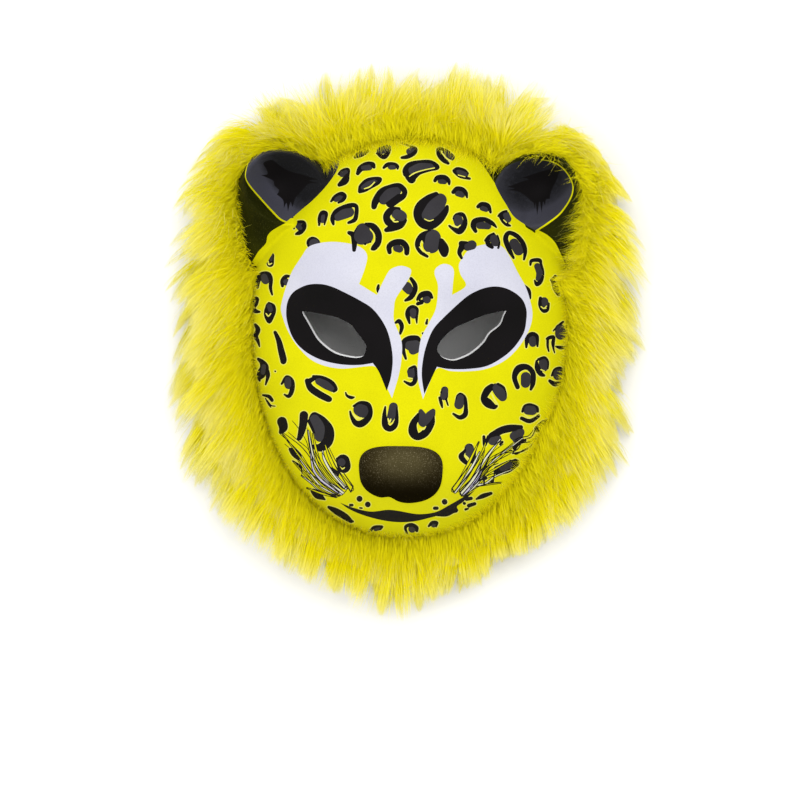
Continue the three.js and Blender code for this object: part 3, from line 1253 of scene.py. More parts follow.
def triangulate(points: Array, edges: Array, rim_at: Callable[[Array, Array], Array],
                holes: Iterable[Array], side: int) -> tuple[Array, Array]:
    """Join flat points into triangles inside a rim and outside holes.

    Args:
        points: Rows of x and y.
        edges: Pairs of point numbers that have to be joined.
        rim_at: The radius of the rim, as a function of x and y.
        holes: The outline of each hole.
        side: 1 for triangles that face up, or -1 for ones that face down.

    Returns:
        The points and the triangles' point numbers.
    """
    verts, _, faces, _, _, _ = delaunay_2d_cdt(
        [Vector(p) for p in points.tolist()], edges.tolist(), [], 0, 1e-4, False
    )
    flat = np.array([tuple(v) for v in verts])
    faces = np.array([face for face in faces if len(face) == 3])
    middle = flat[faces].mean(axis=1)
    kept = np.hypot(*middle.T) < rim_at(*middle.T) + 0.03
    for hole in holes:
        kept &= ~within(hole, middle)
    faces = faces[kept]
    a, b, c = flat[faces[:, 0]], flat[faces[:, 1]], flat[faces[:, 2]]
    area = (b[:, 0] - a[:, 0]) * (c[:, 1] - a[:, 1]) - (b[:, 1] - a[:, 1]) * (c[:, 0] - a[:, 0])
    turned = area * side < 0
    faces[turned] = faces[turned][:, ::-1]
    return flat, faces


@dataclass
class PrintedShape:
    """One area of the cover in one ink, over all the areas before it."""

    ink: Ink
    loops: list[Array]
    low: Array
    high: Array
    holds: Callable[[Array], Array]
    over_ears: bool = False


TOP_LEFT = Sheet((160, 60.5))
TOP_RIGHT = Sheet((400, 60.5))
LOW_LEFT = Sheet((160, 300.5))
LOW_RIGHT = Sheet((400, 300.5))
LEFT_MUZZLE = Sheet((270, 400), 6.5)
RIGHT_MUZZLE = Sheet((440, 400), 6.0)
PICTURE = Sheet((0, 0), 1.0)

SPOTS: dict[Sheet, tuple[Spot, ...]] = {
    TOP_LEFT: (
        Spot((((1168, 742, 14), (1195, 722, 26), (1228, 714, 22), (1224, 750, 26), (1208, 785, 46),
               (1172, 812, 24)),),
             (((1190, 738, 30), (1215, 728, 26)),)),
        Spot((((1292, 738, 22), (1312, 705, 38), (1350, 682, 38), (1388, 680, 32),
               (1398, 697, 18)),),
             (((1325, 700, 26), (1365, 695, 30)),)),
        Spot((((1462, 700, 16), (1488, 680, 26), (1530, 680, 26), (1552, 692, 20),
               (1552, 708, 10)),),
             (((1508, 694, 22), (1528, 694, 20)),)),
        Spot((((1418, 606, 12), (1445, 625, 24), (1468, 628, 30), (1492, 600, 24),
               (1502, 575, 14)),),
             (((1440, 590, 30), (1485, 575, 34)),)),
        Spot((((1275, 630, 20), (1315, 610, 36), (1355, 590, 22)),),
             (((1295, 620, 18), (1335, 600, 20)),)),
        Spot((((1305, 855, 22), (1312, 822, 24), (1350, 785, 24), (1400, 772, 22), (1438, 775, 22),
               (1425, 800, 20), (1385, 825, 16), (1340, 850, 16), (1305, 858, 18)),),
             (((1325, 830, 28), (1360, 808, 36), (1400, 790, 26)),),
             (((1335, 838, 7), (1370, 825, 9), (1402, 795, 7)),)),
        Spot((((1398, 955, 34), (1408, 920, 44), (1450, 865, 56), (1500, 835, 44), (1560, 820, 36),
               (1596, 850, 34), (1590, 885, 34), (1545, 905, 56), (1505, 935, 50),
               (1490, 930, 30)),),
             (((1462, 905, 56), (1500, 870, 66), (1545, 850, 46)),)),
        Spot((((1118, 920, 12), (1145, 890, 24), (1185, 870, 24), (1208, 885, 22), (1195, 912, 20),
               (1165, 930, 10)),),
             (((1150, 905, 22), (1175, 895, 30)),)),
        Spot((((1133, 1070, 14), (1128, 1035, 30), (1150, 992, 36), (1200, 962, 34),
               (1255, 945, 28), (1283, 955, 24), (1282, 1010, 26), (1270, 1042, 26),
               (1232, 1060, 16)),),
             (((1160, 1020, 40), (1200, 1000, 56), (1235, 990, 50)),)),
        Spot((((1040, 1075, 12), (1043, 1030, 24), (1060, 995, 26), (1086, 998, 20),
               (1084, 1030, 16), (1074, 1072, 8)),),
             (((1065, 1020, 26), (1062, 1042, 24)),)),
        Spot((((876, 1098, 10), (874, 1080, 14), (900, 1055, 16), (938, 1058, 22), (938, 1090, 34),
               (915, 1122, 30), (888, 1134, 12)),),
             (((905, 1078, 28), (918, 1095, 24)),)),
        Spot((((998, 1192, 80), (999, 1193, 80)),), (((1006, 1196, 64), (1007, 1197, 64)),)),
        Spot((((1345, 1068, 16), (1392, 1085, 40), (1425, 1130, 42), (1425, 1185, 40),
               (1400, 1222, 36), (1385, 1232, 16)), ((1235, 1125, 22), (1262, 1140, 34),
               (1270, 1190, 34), (1268, 1238, 22)), ((1290, 1100, 14), (1275, 1130, 16)),
               ((1340, 1200, 12), (1352, 1180, 14), (1375, 1185, 12))),
             (((1325, 1110, 76), (1310, 1150, 84), (1345, 1150, 80)),),
             over_white=True),
        Spot((((1560, 970, 22), (1510, 978, 40), (1480, 1020, 44), (1500, 1062, 44),
               (1550, 1050, 20)), ((1478, 1108, 26), (1520, 1092, 46), (1570, 1075, 44),
               (1600, 1045, 26))),
             (((1548, 1000, 56), (1575, 1020, 60)),),
             (((1512, 1030, 8), (1530, 1052, 10), (1555, 1052, 8)),)),
        Spot((((1500, 1252, 26), (1498, 1215, 34), (1530, 1190, 36), (1580, 1188, 38),
               (1610, 1220, 36), (1612, 1258, 30)),),
             (((1548, 1225, 34), (1565, 1232, 30)),)),
        Spot((((722, 1280, 46), (720, 1325, 46)),),
             (((726, 1275, 24), (724, 1300, 22)),),
             (((706, 1310, 8), (712, 1332, 10), (730, 1325, 7)),)),
        Spot((((637, 1480, 18), (640, 1440, 30), (662, 1402, 34), (705, 1398, 34), (724, 1430, 26),
               (722, 1485, 20), (733, 1530, 10)),),
             (((680, 1415, 44), (690, 1435, 36)),)),
        Spot((((800, 1472, 18), (802, 1440, 30), (822, 1412, 24), (848, 1410, 12)),),
             (((820, 1445, 30), (822, 1446, 30)),)),
        Spot((((1428, 1468, 12), (1424, 1490, 20), (1424, 1512, 12)),)),
    ),
    TOP_RIGHT: (
        Spot((((12, 635, 16), (50, 628, 26), (92, 605, 26), (104, 578, 18), (82, 562, 10)),
               ((5, 538, 8), (30, 545, 10), (70, 562, 12))),
             (((62, 595, 26), (82, 582, 24)),)),
        Spot((((250, 582, 24), (256, 615, 30), (285, 648, 34), (315, 672, 16)), ((262, 574, 18),
               (305, 592, 18), (345, 622, 14))),
             (((300, 600, 26), (335, 632, 28)),),
             (((278, 608, 8), (305, 640, 10), (335, 655, 8)),)),
        Spot((((40, 740, 40), (36, 715, 36), (65, 685, 40), (120, 668, 30), (200, 664, 24),
               (246, 698, 24), (195, 716, 16), (130, 735, 20), (95, 760, 30)), ((75, 775, 54),
               (55, 760, 40))),
             (((75, 715, 40), (130, 695, 50), (200, 690, 34)),),
             (((62, 757, 7), (95, 735, 8), (160, 715, 7), (225, 702, 7)),)),
        Spot((((352, 720, 18), (375, 705, 16), (420, 715, 14), (445, 738, 10)), ((355, 728, 16),
               (395, 755, 24), (455, 772, 14))),
             (((385, 728, 30), (425, 742, 28)),),
             (((380, 748, 6), (425, 760, 6)),)),
        Spot((((228, 785, 20), (246, 765, 28), (288, 762, 28), (315, 782, 26), (322, 808, 12)),),
             (((265, 788, 20), (290, 790, 20)),)),
        Spot((((348, 860, 24), (372, 838, 28), (408, 842, 26), (430, 865, 24), (438, 895, 10)),),
             (((380, 865, 30), (405, 875, 26)),)),
        Spot((((235, 876, 34), (185, 905, 50), (135, 955, 66), (122, 1010, 66), (150, 1060, 66),
               (200, 1075, 58), (255, 1040, 52), (298, 985, 36), (308, 955, 20)),),
             (((180, 1010, 76), (225, 960, 100), (262, 912, 70)),),
             (((160, 1035, 6), (190, 1048, 7), (218, 1040, 6)),)),
        Spot((((350, 1032, 12), (370, 1008, 20), (408, 1005, 22), (426, 1040, 24), (418, 1080, 36),
               (388, 1115, 40), (345, 1098, 20), (322, 1080, 12)),),
             (((375, 1030, 44), (385, 1060, 44)),),
             (((348, 1075, 7), (375, 1088, 8), (395, 1075, 6)),)),
        Spot((((494, 1115, 22), (478, 1080, 32), (492, 1048, 34), (550, 1038, 28), (600, 1062, 26),
               (630, 1090, 8)),),
             (((520, 1075, 34), (575, 1082, 26)),)),
        Spot((((510, 955, 22), (535, 938, 26), (575, 950, 28), (592, 992, 14)),),
             (((540, 962, 24), (562, 970, 22)),)),
        Spot((((642, 1016, 10), (668, 1000, 26), (695, 985, 16)), ((655, 1010, 26), (675, 1048, 26),
               (700, 1072, 22), (722, 1080, 8))),
             (((690, 1010, 34), (702, 1035, 34)),),
             (((676, 1040, 6), (695, 1058, 7)),)),
        Spot((((742, 1290, 14), (712, 1232, 30), (690, 1165, 32), (712, 1126, 26), (765, 1148, 28),
               (805, 1198, 28), (818, 1248, 24), (810, 1300, 12)),),
             (((745, 1195, 46), (775, 1240, 50)),)),
        Spot((((195, 1112, 14), (140, 1145, 32), (114, 1200, 32), (135, 1250, 26), (178, 1280, 16)),
               ((268, 1185, 44), (285, 1230, 66), (290, 1262, 44)), ((160, 1160, 40),
               (165, 1180, 30))),
             (((212, 1158, 92), (205, 1205, 92)),),
             (((128, 1218, 7), (155, 1248, 8), (195, 1256, 6)),)),
        Spot((((402, 1290, 16), (388, 1255, 26), (405, 1215, 40), (398, 1190, 20),
               (435, 1190, 16)),),
             (((440, 1215, 40), (470, 1205, 44)),),
             over_white=True),
        Spot((((557, 1176, 13), (584, 1152, 26), (612, 1132, 15)), ((570, 1167, 20),
               (577, 1198, 32), (602, 1220, 20)), ((637, 1143, 8), (650, 1187, 9),
               (642, 1224, 13))),
             (((608, 1158, 38), (625, 1185, 42)),),
             over_white=True),
        Spot((((852, 1335, 12), (860, 1308, 20), (910, 1305, 24), (922, 1330, 14), (935, 1385, 14),
               (920, 1440, 26), (895, 1462, 24), (880, 1438, 10)),),
             (((898, 1345, 26), (915, 1385, 34), (905, 1425, 20)),)),
        Spot((((990, 1435, 16), (1015, 1408, 14)), ((1000, 1445, 24), (1020, 1490, 40),
               (1035, 1530, 18)))),
        Spot((((812, 1470, 12), (838, 1505, 30), (850, 1552, 14)),)),
        Spot((((72, 1425, 20), (96, 1462, 28), (98, 1500, 30), (72, 1545, 32), (35, 1568, 14)),),
             (((45, 1480, 50), (60, 1500, 40)),)),
        Spot((((115, 1562, 18), (140, 1532, 34), (185, 1522, 32), (208, 1548, 18)),
               ((115, 1590, 20), (140, 1578, 30))),
             (((172, 1560, 34), (176, 1562, 34)),)),
    ),
    LOW_LEFT: (
        Spot((((603, 22, 24), (608, -12, 24), (636, -10, 20), (628, 25, 20), (612, 45, 22),
               (622, 68, 26), (650, 74, 12)),)),
        Spot((((712, 20, 20), (742, 35, 18), (745, 75, 22), (716, 140, 18), (694, 105, 22),
               (688, 70, 14), (700, 35, 16)), ((716, 60, 40), (716, 110, 36))),
             (((715, 38, 34), (722, 60, 32)),),
             (((693, 85, 8), (708, 102, 9), (724, 85, 7)),)),
        Spot((((622, 158, 16), (640, 190, 30), (626, 232, 28), (640, 265, 20), (650, 300, 8)),
               ((608, 300, 12), (612, 315, 6)))),
        Spot((((752, 208, 20), (775, 260, 32), (790, 320, 40), (806, 385, 42), (806, 398, 36)),)),
        Spot((((642, 382, 16), (668, 405, 34), (682, 440, 56), (662, 480, 56), (648, 510, 20),
               (652, 525, 10)), ((700, 460, 26), (706, 490, 24), (690, 550, 8))),
             (((678, 430, 30), (672, 470, 30)),)),
        Spot((((795, 545, 12), (828, 502, 24), (862, 528, 28), (862, 585, 30), (842, 625, 22),
               (812, 614, 8)),),
             (((835, 520, 42), (840, 552, 36)),)),
        Spot((((752, 462, 9), (753, 463, 9)),)),
        Spot((((1002, 496, 16), (1060, 505, 24), (1120, 540, 34), (1148, 578, 24), (1135, 592, 18)),
               ((962, 525, 30), (985, 572, 42), (1040, 612, 44), (1098, 642, 40), (1106, 645, 34)),
               ((985, 520, 30), (1010, 510, 20))),
             (((1040, 525, 36), (1085, 548, 44), (1125, 575, 28)),)),
        Spot((((1213, 602, 8), (1222, 622, 14), (1248, 634, 20), (1268, 632, 8)),)),
        Spot((((1265, 690, 12), (1310, 668, 20), (1360, 680, 26), (1375, 725, 28), (1360, 770, 36),
               (1315, 805, 44), (1278, 800, 34), (1252, 760, 20), (1242, 725, 10)),),
             (((1308, 712, 72), (1325, 722, 72)),),
             (((1262, 742, 10), (1285, 765, 12), (1318, 768, 8)),)),
        Spot((((1472, 695, 10), (1466, 750, 26), (1472, 815, 40), (1502, 838, 36), (1535, 815, 34),
               (1548, 765, 20), (1548, 700, 8)),),
             (((1525, 695, 40), (1515, 745, 40), (1500, 780, 26)),),
             (((1490, 772, 8), (1498, 795, 12), (1508, 775, 8)),)),
        Spot((((797, 792, 62), (806, 830, 54), (788, 860, 22)),)),
        Spot((((940, 750, 54), (936, 800, 50), (926, 850, 44), (910, 900, 28), (898, 906, 12)),)),
        Spot((((1010, 760, 60), (1060, 790, 60), (1100, 850, 70), (1095, 920, 66), (1050, 960, 52),
               (1005, 955, 28)), ((985, 790, 40), (1015, 850, 40))),
             (((1010, 775, 60), (1040, 830, 70), (1045, 890, 50)),)),
        Spot((((1195, 1050, 86), (1200, 1085, 80), (1160, 1035, 20)),),
             (((1185, 1055, 50), (1187, 1057, 50)),),
             (((1172, 1085, 7), (1190, 1100, 9), (1205, 1092, 7)),)),
        Spot((((850, 972, 18), (880, 995, 50), (905, 1022, 40), (918, 1045, 12)), ((868, 1048, 7),
               (915, 1080, 8), (930, 1125, 8)))),
        Spot((((1000, 1245, 30), (1030, 1268, 52), (1058, 1288, 26), (1078, 1300, 8)),)),
        Spot((((1102, 1350, 16), (1148, 1375, 38), (1210, 1412, 40), (1246, 1440, 24),
               (1262, 1444, 10)),)),
        Spot((((1374, 1506, 14), (1400, 1480, 16), (1452, 1476, 10), (1440, 1495, 10)),),
             (((1410, 1492, 14), (1430, 1488, 12)),)),
        Spot((((672, 618, 10), (712, 628, 22), (732, 652, 20)), ((690, 640, 6), (708, 678, 6),
               (724, 698, 5)), ((702, 655, 6), (725, 685, 6), (752, 690, 5)))),
        Spot((((1303, 1295, 36), (1304, 1296, 36)), ((1243, 1337, 16), (1256, 1337, 16)),
               ((1357, 1332, 34), (1358, 1333, 34)), ((1306, 1355, 9), (1320, 1357, 9)))),
    ),
    LOW_RIGHT: (
        Spot((((918, -15, 20), (915, 30, 22), (938, 66, 26), (964, 60, 18), (972, 20, 12)),),
             (((942, 5, 36), (950, 25, 30)),),
             (((922, 40, 7), (940, 52, 8), (958, 35, 6)),)),
        Spot((((62, 148, 12), (50, 95, 30), (56, 60, 26), (82, 42, 24), (110, 58, 22),
               (108, 105, 18), (110, 148, 6)),),
             (((85, 72, 44), (90, 95, 30)),)),
        Spot((((-28, 145, 14), (-5, 135, 26), (12, 170, 26), (2, 215, 16)),)),
        Spot((((38, 380, 14), (20, 320, 26), (26, 272, 34), (62, 248, 34), (112, 245, 28),
               (130, 262, 16)),),
             (((60, 290, 50), (95, 300, 70), (85, 325, 40)),)),
        Spot((((62, 445, 14), (98, 432, 14), (103, 480, 22), (98, 525, 28), (72, 548, 24),
               (28, 528, 10)),),
             (((75, 465, 40), (78, 490, 36)),),
             (((52, 505, 7), (80, 510, 8)),)),
        Spot((((150, 215, 14), (151, 216, 14)), ((173, 150, 16), (178, 125, 10)))),
        Spot((((124, 749, 30), (88, 804, 44), (86, 859, 58), (116, 890, 44), (166, 864, 48),
               (206, 804, 38), (216, 764, 20)),),
             (((136, 724, 12), (146, 760, 42), (156, 794, 50), (196, 754, 44), (216, 722, 14)),),
             (((130, 839, 7), (155, 840, 10), (168, 822, 6)),)),
        Spot((((258, 635, 14), (268, 665, 20), (276, 698, 10)), ((288, 575, 14), (270, 600, 12)),
               ((305, 610, 12), (302, 645, 12), (314, 685, 8))),
             (((292, 585, 30), (288, 625, 36)),)),
        Spot((((370, 640, 12), (392, 612, 18), (424, 635, 18), (430, 700, 24), (425, 745, 32),
               (390, 764, 26), (348, 740, 12)),),
             (((395, 635, 44), (385, 680, 44)),)),
        Spot((((600, 562, 36), (570, 590, 46), (548, 640, 40), (575, 670, 56), (615, 695, 30),
               (632, 690, 14)), ((640, 545, 14), (678, 570, 14), (690, 620, 12))),
             (((625, 570, 40), (655, 600, 60), (670, 630, 40)),),
             (((600, 610, 10), (622, 655, 12), (640, 680, 8)),)),
        Spot((((768, 565, 28), (748, 500, 32), (775, 445, 44), (830, 435, 34), (868, 475, 32),
               (868, 540, 30), (855, 580, 16)),),
             (((822, 500, 48), (820, 540, 44)),)),
        Spot((((825, 305, 12), (832, 250, 30), (860, 218, 24), (895, 235, 22), (898, 298, 12)),),
             (((862, 255, 40), (868, 280, 30)),)),
        Spot((((892, 395, 12), (898, 440, 34), (918, 478, 30), (942, 490, 14)), ((905, 385, 16),
               (945, 372, 14), (968, 400, 10), (966, 445, 8))),
             (((938, 405, 44), (940, 435, 40)),),
             (((922, 452, 8), (942, 460, 7)),)),
        Spot((((992, 490, 12), (1012, 450, 14), (1050, 440, 12), (1060, 470, 10)), ((978, 525, 18),
               (1010, 545, 30), (1045, 538, 22), (1058, 520, 10))),
             (((1030, 475, 52), (1032, 490, 46)),)),
        Spot((((957, 250, 10), (978, 242, 22), (1005, 238, 16), (1000, 275, 22), (1002, 310, 12),
               (1010, 342, 6)), ((965, 262, 16), (965, 300, 14), (972, 332, 8)))),
        Spot((((1002, 198, 8), (1040, 160, 14), (1065, 140, 12)), ((1018, 300, 8), (1050, 308, 22),
               (1082, 302, 8))),
             (((1045, 185, 46), (1050, 220, 56)),)),
        Spot((((800, 725, 14), (815, 692, 18), (850, 680, 16), (895, 698, 16), (900, 725, 14)),
               ((795, 770, 22), (850, 788, 26), (905, 755, 20))),
             (((838, 712, 52), (864, 714, 52)),),
             (((812, 745, 9), (850, 765, 11), (888, 750, 9)),)),
        Spot((((898, 840, 40), (930, 805, 36), (958, 782, 14)),)),
        Spot((((600, 885, 44), (660, 850, 46), (720, 835, 46), (790, 828, 26)), ((548, 890, 18),
               (553, 945, 18), (578, 890, 20)), ((655, 940, 14), (668, 925, 16))),
             (((605, 915, 44), (635, 905, 40)), ((745, 885, 40), (785, 860, 40), (760, 905, 36)))),
        Spot((((748, 965, 24), (770, 930, 34), (815, 915, 20)),)),
        Spot((((445, 955, 20), (420, 985, 16), (400, 1020, 34), (430, 1058, 26), (445, 1065, 14)),
               ((480, 1055, 30), (490, 990, 10)), ((465, 945, 14), (455, 950, 14))),
             (((452, 965, 44), (460, 1005, 46)),),
             (((430, 1015, 9), (450, 1035, 10)),)),
        Spot((((640, 1110, 60), (700, 1090, 70), (755, 1060, 50)),),
             (((670, 1095, 44), (715, 1075, 44)),)),
        Spot((((545, 1165, 22), (560, 1160, 20)), ((598, 1180, 20), (605, 1185, 16)))),
        Spot((((435, 1297, 24), (465, 1293, 20)), ((420, 1325, 18), (421, 1326, 18)),
               ((498, 1298, 8), (540, 1278, 28), (595, 1260, 18)), ((450, 1340, 24),
               (488, 1328, 20)), ((428, 1365, 14), (445, 1360, 10)))),
        Spot((((240, 1400, 16), (300, 1388, 44), (345, 1375, 30), (370, 1378, 12)),)),
        Spot((((188, 1474, 12), (212, 1452, 22), (242, 1452, 16), (236, 1478, 8)),),
             (((218, 1466, 16), (220, 1467, 16)),)),
        Spot((((45, 1522, 12), (36, 1480, 18), (72, 1466, 24), (108, 1482, 22), (110, 1505, 16)),),
             (((78, 1492, 30), (80, 1494, 30)),)),
        Spot((((291, 1315, 34), (292, 1316, 34)), ((226, 1357, 20), (242, 1357, 20)))),
        Spot((((735, 1000, 7), (800, 985, 7), (850, 955, 6), (890, 900, 4)), ((820, 905, 6),
               (860, 890, 6), (880, 850, 4)))),
    ),
}

W, Y, L = Ink.WHISKER, Ink.YELLOW, Ink.LILAC
WHISKERS: dict[Sheet, tuple[Whisker, ...]] = {
    LOW_LEFT: (
        Whisker(((1150, 1282, 8), (1060, 1262, 8), (1000, 1240, 5), (960, 1225, 2)), Y),
        Whisker(((1145, 1280, 8), (1040, 1235, 8), (985, 1190, 6), (925, 1145, 2)), W),
        Whisker(((1150, 1278, 9), (1050, 1235, 8), (960, 1150, 6), (870, 1050, 2)), Y),
        Whisker(((1160, 1276, 10), (1055, 1228, 9), (960, 1120, 8), (905, 1045, 3)), Y),
        Whisker(((1170, 1272, 10), (1060, 1220, 10), (980, 1130, 8), (890, 1000, 3)), W),
        Whisker(
            ((1175, 1268, 12), (1070, 1210, 12), (995, 1130, 10), (905, 1010, 5), (800, 870, 2)),
            Y,
        ),
        Whisker(((1185, 1262, 14), (1070, 1190, 14), (1005, 1110, 10), (985, 1000, 3)), L),
        Whisker(((1195, 1255, 14), (1090, 1180, 12), (1015, 1070, 10), (968, 850, 3)), W),
        Whisker(((1205, 1240, 18), (1110, 1160, 16), (1040, 1050, 14), (998, 870, 3)), Y),
        Whisker(((1215, 1225, 18), (1130, 1130, 16), (1075, 1040, 12), (1062, 980, 3)), W),
        Whisker(((1252, 1232, 22), (1165, 1130, 20), (1110, 1030, 14), (1080, 945, 3)), Y),
    ),
    LOW_RIGHT: (
        Whisker(((495, 1210, 8), (570, 1200, 8), (660, 1190, 3)), Y),
        Whisker(((500, 1205, 10), (560, 1195, 8), (620, 1150, 6), (730, 1105, 3)), W),
        Whisker(((480, 1220, 8), (560, 1140, 8), (640, 1090, 6), (720, 1045, 2)), Y),
        Whisker(((470, 1225, 12), (540, 1150, 10), (640, 1010, 8), (740, 985, 3)), Y),
        Whisker(((420, 1270, 10), (500, 1200, 10), (600, 1060, 10), (800, 900, 3)), W),
        Whisker(((415, 1272, 12), (500, 1180, 12), (580, 1090, 10), (735, 955, 3)), Y),
        Whisker(((410, 1268, 12), (480, 1200, 14), (530, 1120, 14), (560, 1080, 6)), L),
        Whisker(((400, 1262, 14), (470, 1180, 14), (540, 1060, 12), (655, 905, 4)), W),
        Whisker(((385, 1240, 18), (440, 1180, 16), (510, 1060, 14), (560, 930, 3)), Y),
        Whisker(((360, 1250, 14), (420, 1170, 12), (480, 1070, 10), (520, 990, 3)), W),
        Whisker(((348, 1240, 20), (400, 1160, 18), (450, 1060, 12), (515, 925, 3)), Y),
    ),
}

WHISKER_LINES: dict[Sheet, tuple[Path, ...]] = {
    LEFT_MUZZLE: (
        ((365, 290, 4), (420, 420, 6), (480, 520, 7), (525, 598, 9)),
        ((380, 300, 4), (430, 400, 6), (490, 490, 7), (540, 562, 9)),
        ((525, 598, 9), (540, 562, 9)),
        ((275, 290, 4), (330, 400, 6), (400, 500, 6), (475, 575, 8), (497, 562, 8)),
        ((335, 330, 4), (385, 430, 6), (440, 510, 6), (500, 575, 7)),
        ((262, 200, 4), (285, 340, 6), (340, 440, 6), (410, 530, 6), (470, 590, 7)),
        ((240, 180, 4), (262, 330, 6), (310, 430, 6), (390, 540, 6), (455, 600, 7)),
        ((75, 205, 4), (130, 245, 5), (200, 300, 6), (258, 370, 6), (320, 470, 6),
         (400, 560, 6), (450, 605, 6)),
        ((120, 210, 4), (180, 262, 5), (240, 310, 5), (262, 345, 5)),
        ((145, 135, 4), (185, 185, 5), (235, 265, 5), (258, 350, 5)),
        ((60, 215, 4), (120, 270, 5), (200, 350, 5), (260, 440, 5), (340, 540, 5),
         (440, 610, 5)),
        ((95, 285, 4), (150, 335, 5), (210, 400, 5), (280, 490, 5), (380, 580, 5),
         (445, 618, 5)),
        ((145, 395, 6), (185, 420, 8), (208, 465, 6), (205, 490, 4)),
        ((205, 490, 4), (270, 530, 5), (350, 570, 5), (440, 620, 6)),
        ((215, 455, 4), (280, 490, 5), (350, 545, 5), (430, 600, 5)),
        ((345, 600, 4), (400, 615, 8), (450, 620, 9)),
        ((390, 438, 8), (412, 452, 18), (438, 474, 20), (446, 492, 6)),
    ),
    RIGHT_MUZZLE: (
        ((232, 248, 4), (200, 350, 6), (140, 440, 7), (72, 530, 8)),
        ((265, 300, 4), (220, 380, 6), (160, 460, 7), (84, 552, 8)),
        ((72, 530, 9), (84, 554, 9)),
        ((270, 300, 4), (240, 400, 5), (190, 470, 6), (116, 542, 7)),
        ((300, 330, 4), (250, 420, 5), (200, 490, 6), (128, 574, 7)),
        ((116, 542, 8), (128, 575, 8)),
        ((370, 235, 4), (310, 290, 6), (265, 350, 5), (230, 440, 5)),
        ((380, 265, 4), (320, 310, 5), (280, 370, 5), (240, 450, 5), (180, 530, 5)),
        ((440, 255, 5), (370, 310, 6), (300, 350, 5), (260, 420, 5), (200, 510, 5)),
        ((430, 300, 5), (360, 330, 6), (300, 365, 5), (265, 410, 4)),
        ((425, 320, 4), (350, 360, 6), (290, 395, 5), (250, 430, 4)),
        ((350, 380, 5), (300, 400, 7), (260, 440, 5), (215, 500, 5), (150, 570, 5)),
        ((345, 432, 5), (270, 460, 6), (230, 490, 5), (180, 540, 4)),
        ((330, 452, 4), (280, 472, 5), (240, 502, 4)),
        ((370, 495, 4), (300, 500, 7), (240, 515, 6), (190, 545, 5), (130, 578, 6)),
        ((560, 180, 4), (530, 215, 6), (480, 225, 7), (450, 240, 8)),
        ((575, 225, 4), (540, 250, 6), (490, 260, 6), (470, 290, 7), (440, 310, 10)),
        ((540, 280, 4), (500, 300, 6), (460, 325, 8), (438, 318, 8)),
        ((268, 452, 8), (264, 502, 10)),
        ((326, 440, 8), (320, 492, 8)),
    ),
}

# Outlines in the picture's own pixels. A point given twice is a corner.
WHITE_PATCHES = (
    ((281, 306), (290, 276), (302, 256), (310, 246), (328, 242), (346, 243), (360, 247),
     (367, 255), (365, 268), (359, 284), (359, 284), (377, 295), (377, 295), (381, 286),
     (389, 271), (395.5, 267), (403, 266), (411, 270), (408, 280), (396, 298), (394, 308),
     (394, 321), (401, 339), (402, 353), (399, 374), (392, 398), (392, 398), (379, 372),
     (373, 366), (340, 368.5), (315, 362), (299, 348), (289, 333), (283, 318)),
    ((442.9, 264), (436, 268.2), (434.6, 274), (438, 286), (436, 308), (429, 323), (421, 339),
     (418, 361), (418, 379), (423, 399), (423, 399), (430, 382), (437.5, 368.3),
     (450.5, 371), (467.3, 371.3), (485.7, 369), (504, 361), (518, 348), (528.6, 331),
     (532.4, 315.3), (530, 300), (525.5, 286.5), (517.9, 272.8), (510.2, 257.5),
     (504, 248.3), (494.9, 243.7), (479.6, 245.5), (468.9, 249.8), (462.8, 257.5),
     (458.9, 265), (460.5, 274.3), (465.8, 285.8), (452, 295), (452, 295), (452.8, 285),
     (453.9, 271), (450.5, 265.5)),
)
EYE_PATCHES = (
    ((320, 284), (307, 285), (294.7, 291), (288.6, 299), (286.3, 309), (287, 321),
     (293, 338), (304, 350.5), (320.7, 359.7), (340.6, 364.3), (359, 365), (372.8, 363),
     (372.8, 363), (378.9, 372), (386.7, 391), (386.7, 391), (391, 376.5), (392.7, 358),
     (389.6, 338), (383.5, 323), (372.8, 309), (360.5, 300.8), (343.7, 292), (331.4, 286.5)),
    ((424.3, 394), (424.3, 394), (421.8, 376.5), (422.8, 361), (426.2, 346), (433, 329.6),
     (444.2, 317), (462.8, 299.8), (472.5, 293), (485.2, 287.8), (498, 286.6), (510.5, 290.2),
     (521.6, 298.5), (526.3, 309), (526.3, 320.3), (523.6, 333), (514.2, 347.2), (502, 357.8),
     (486.2, 366.2), (467.3, 369), (449, 369), (436.9, 366.8), (436.9, 366.8), (430.6, 380.4)),
)
EAR_CUPS = (
    ((287, 222.5), (287, 222.5), (280, 219), (271, 210), (261, 199), (250, 186), (245.5, 177),
     (247, 166), (251, 158), (260, 151), (272, 146), (297, 146), (318, 150), (338, 156),
     (339, 163), (336, 172), (327, 185), (314, 199), (300, 211)),
    ((495.5, 185), (498, 176.5), (505, 168), (515, 162.5), (528, 159), (541, 159),
     (554, 162), (565, 170), (572.3, 184.5), (570, 200), (560, 214), (549, 222.5), (536, 231),
     (536, 231), (515.5, 218), (507, 206)),
)
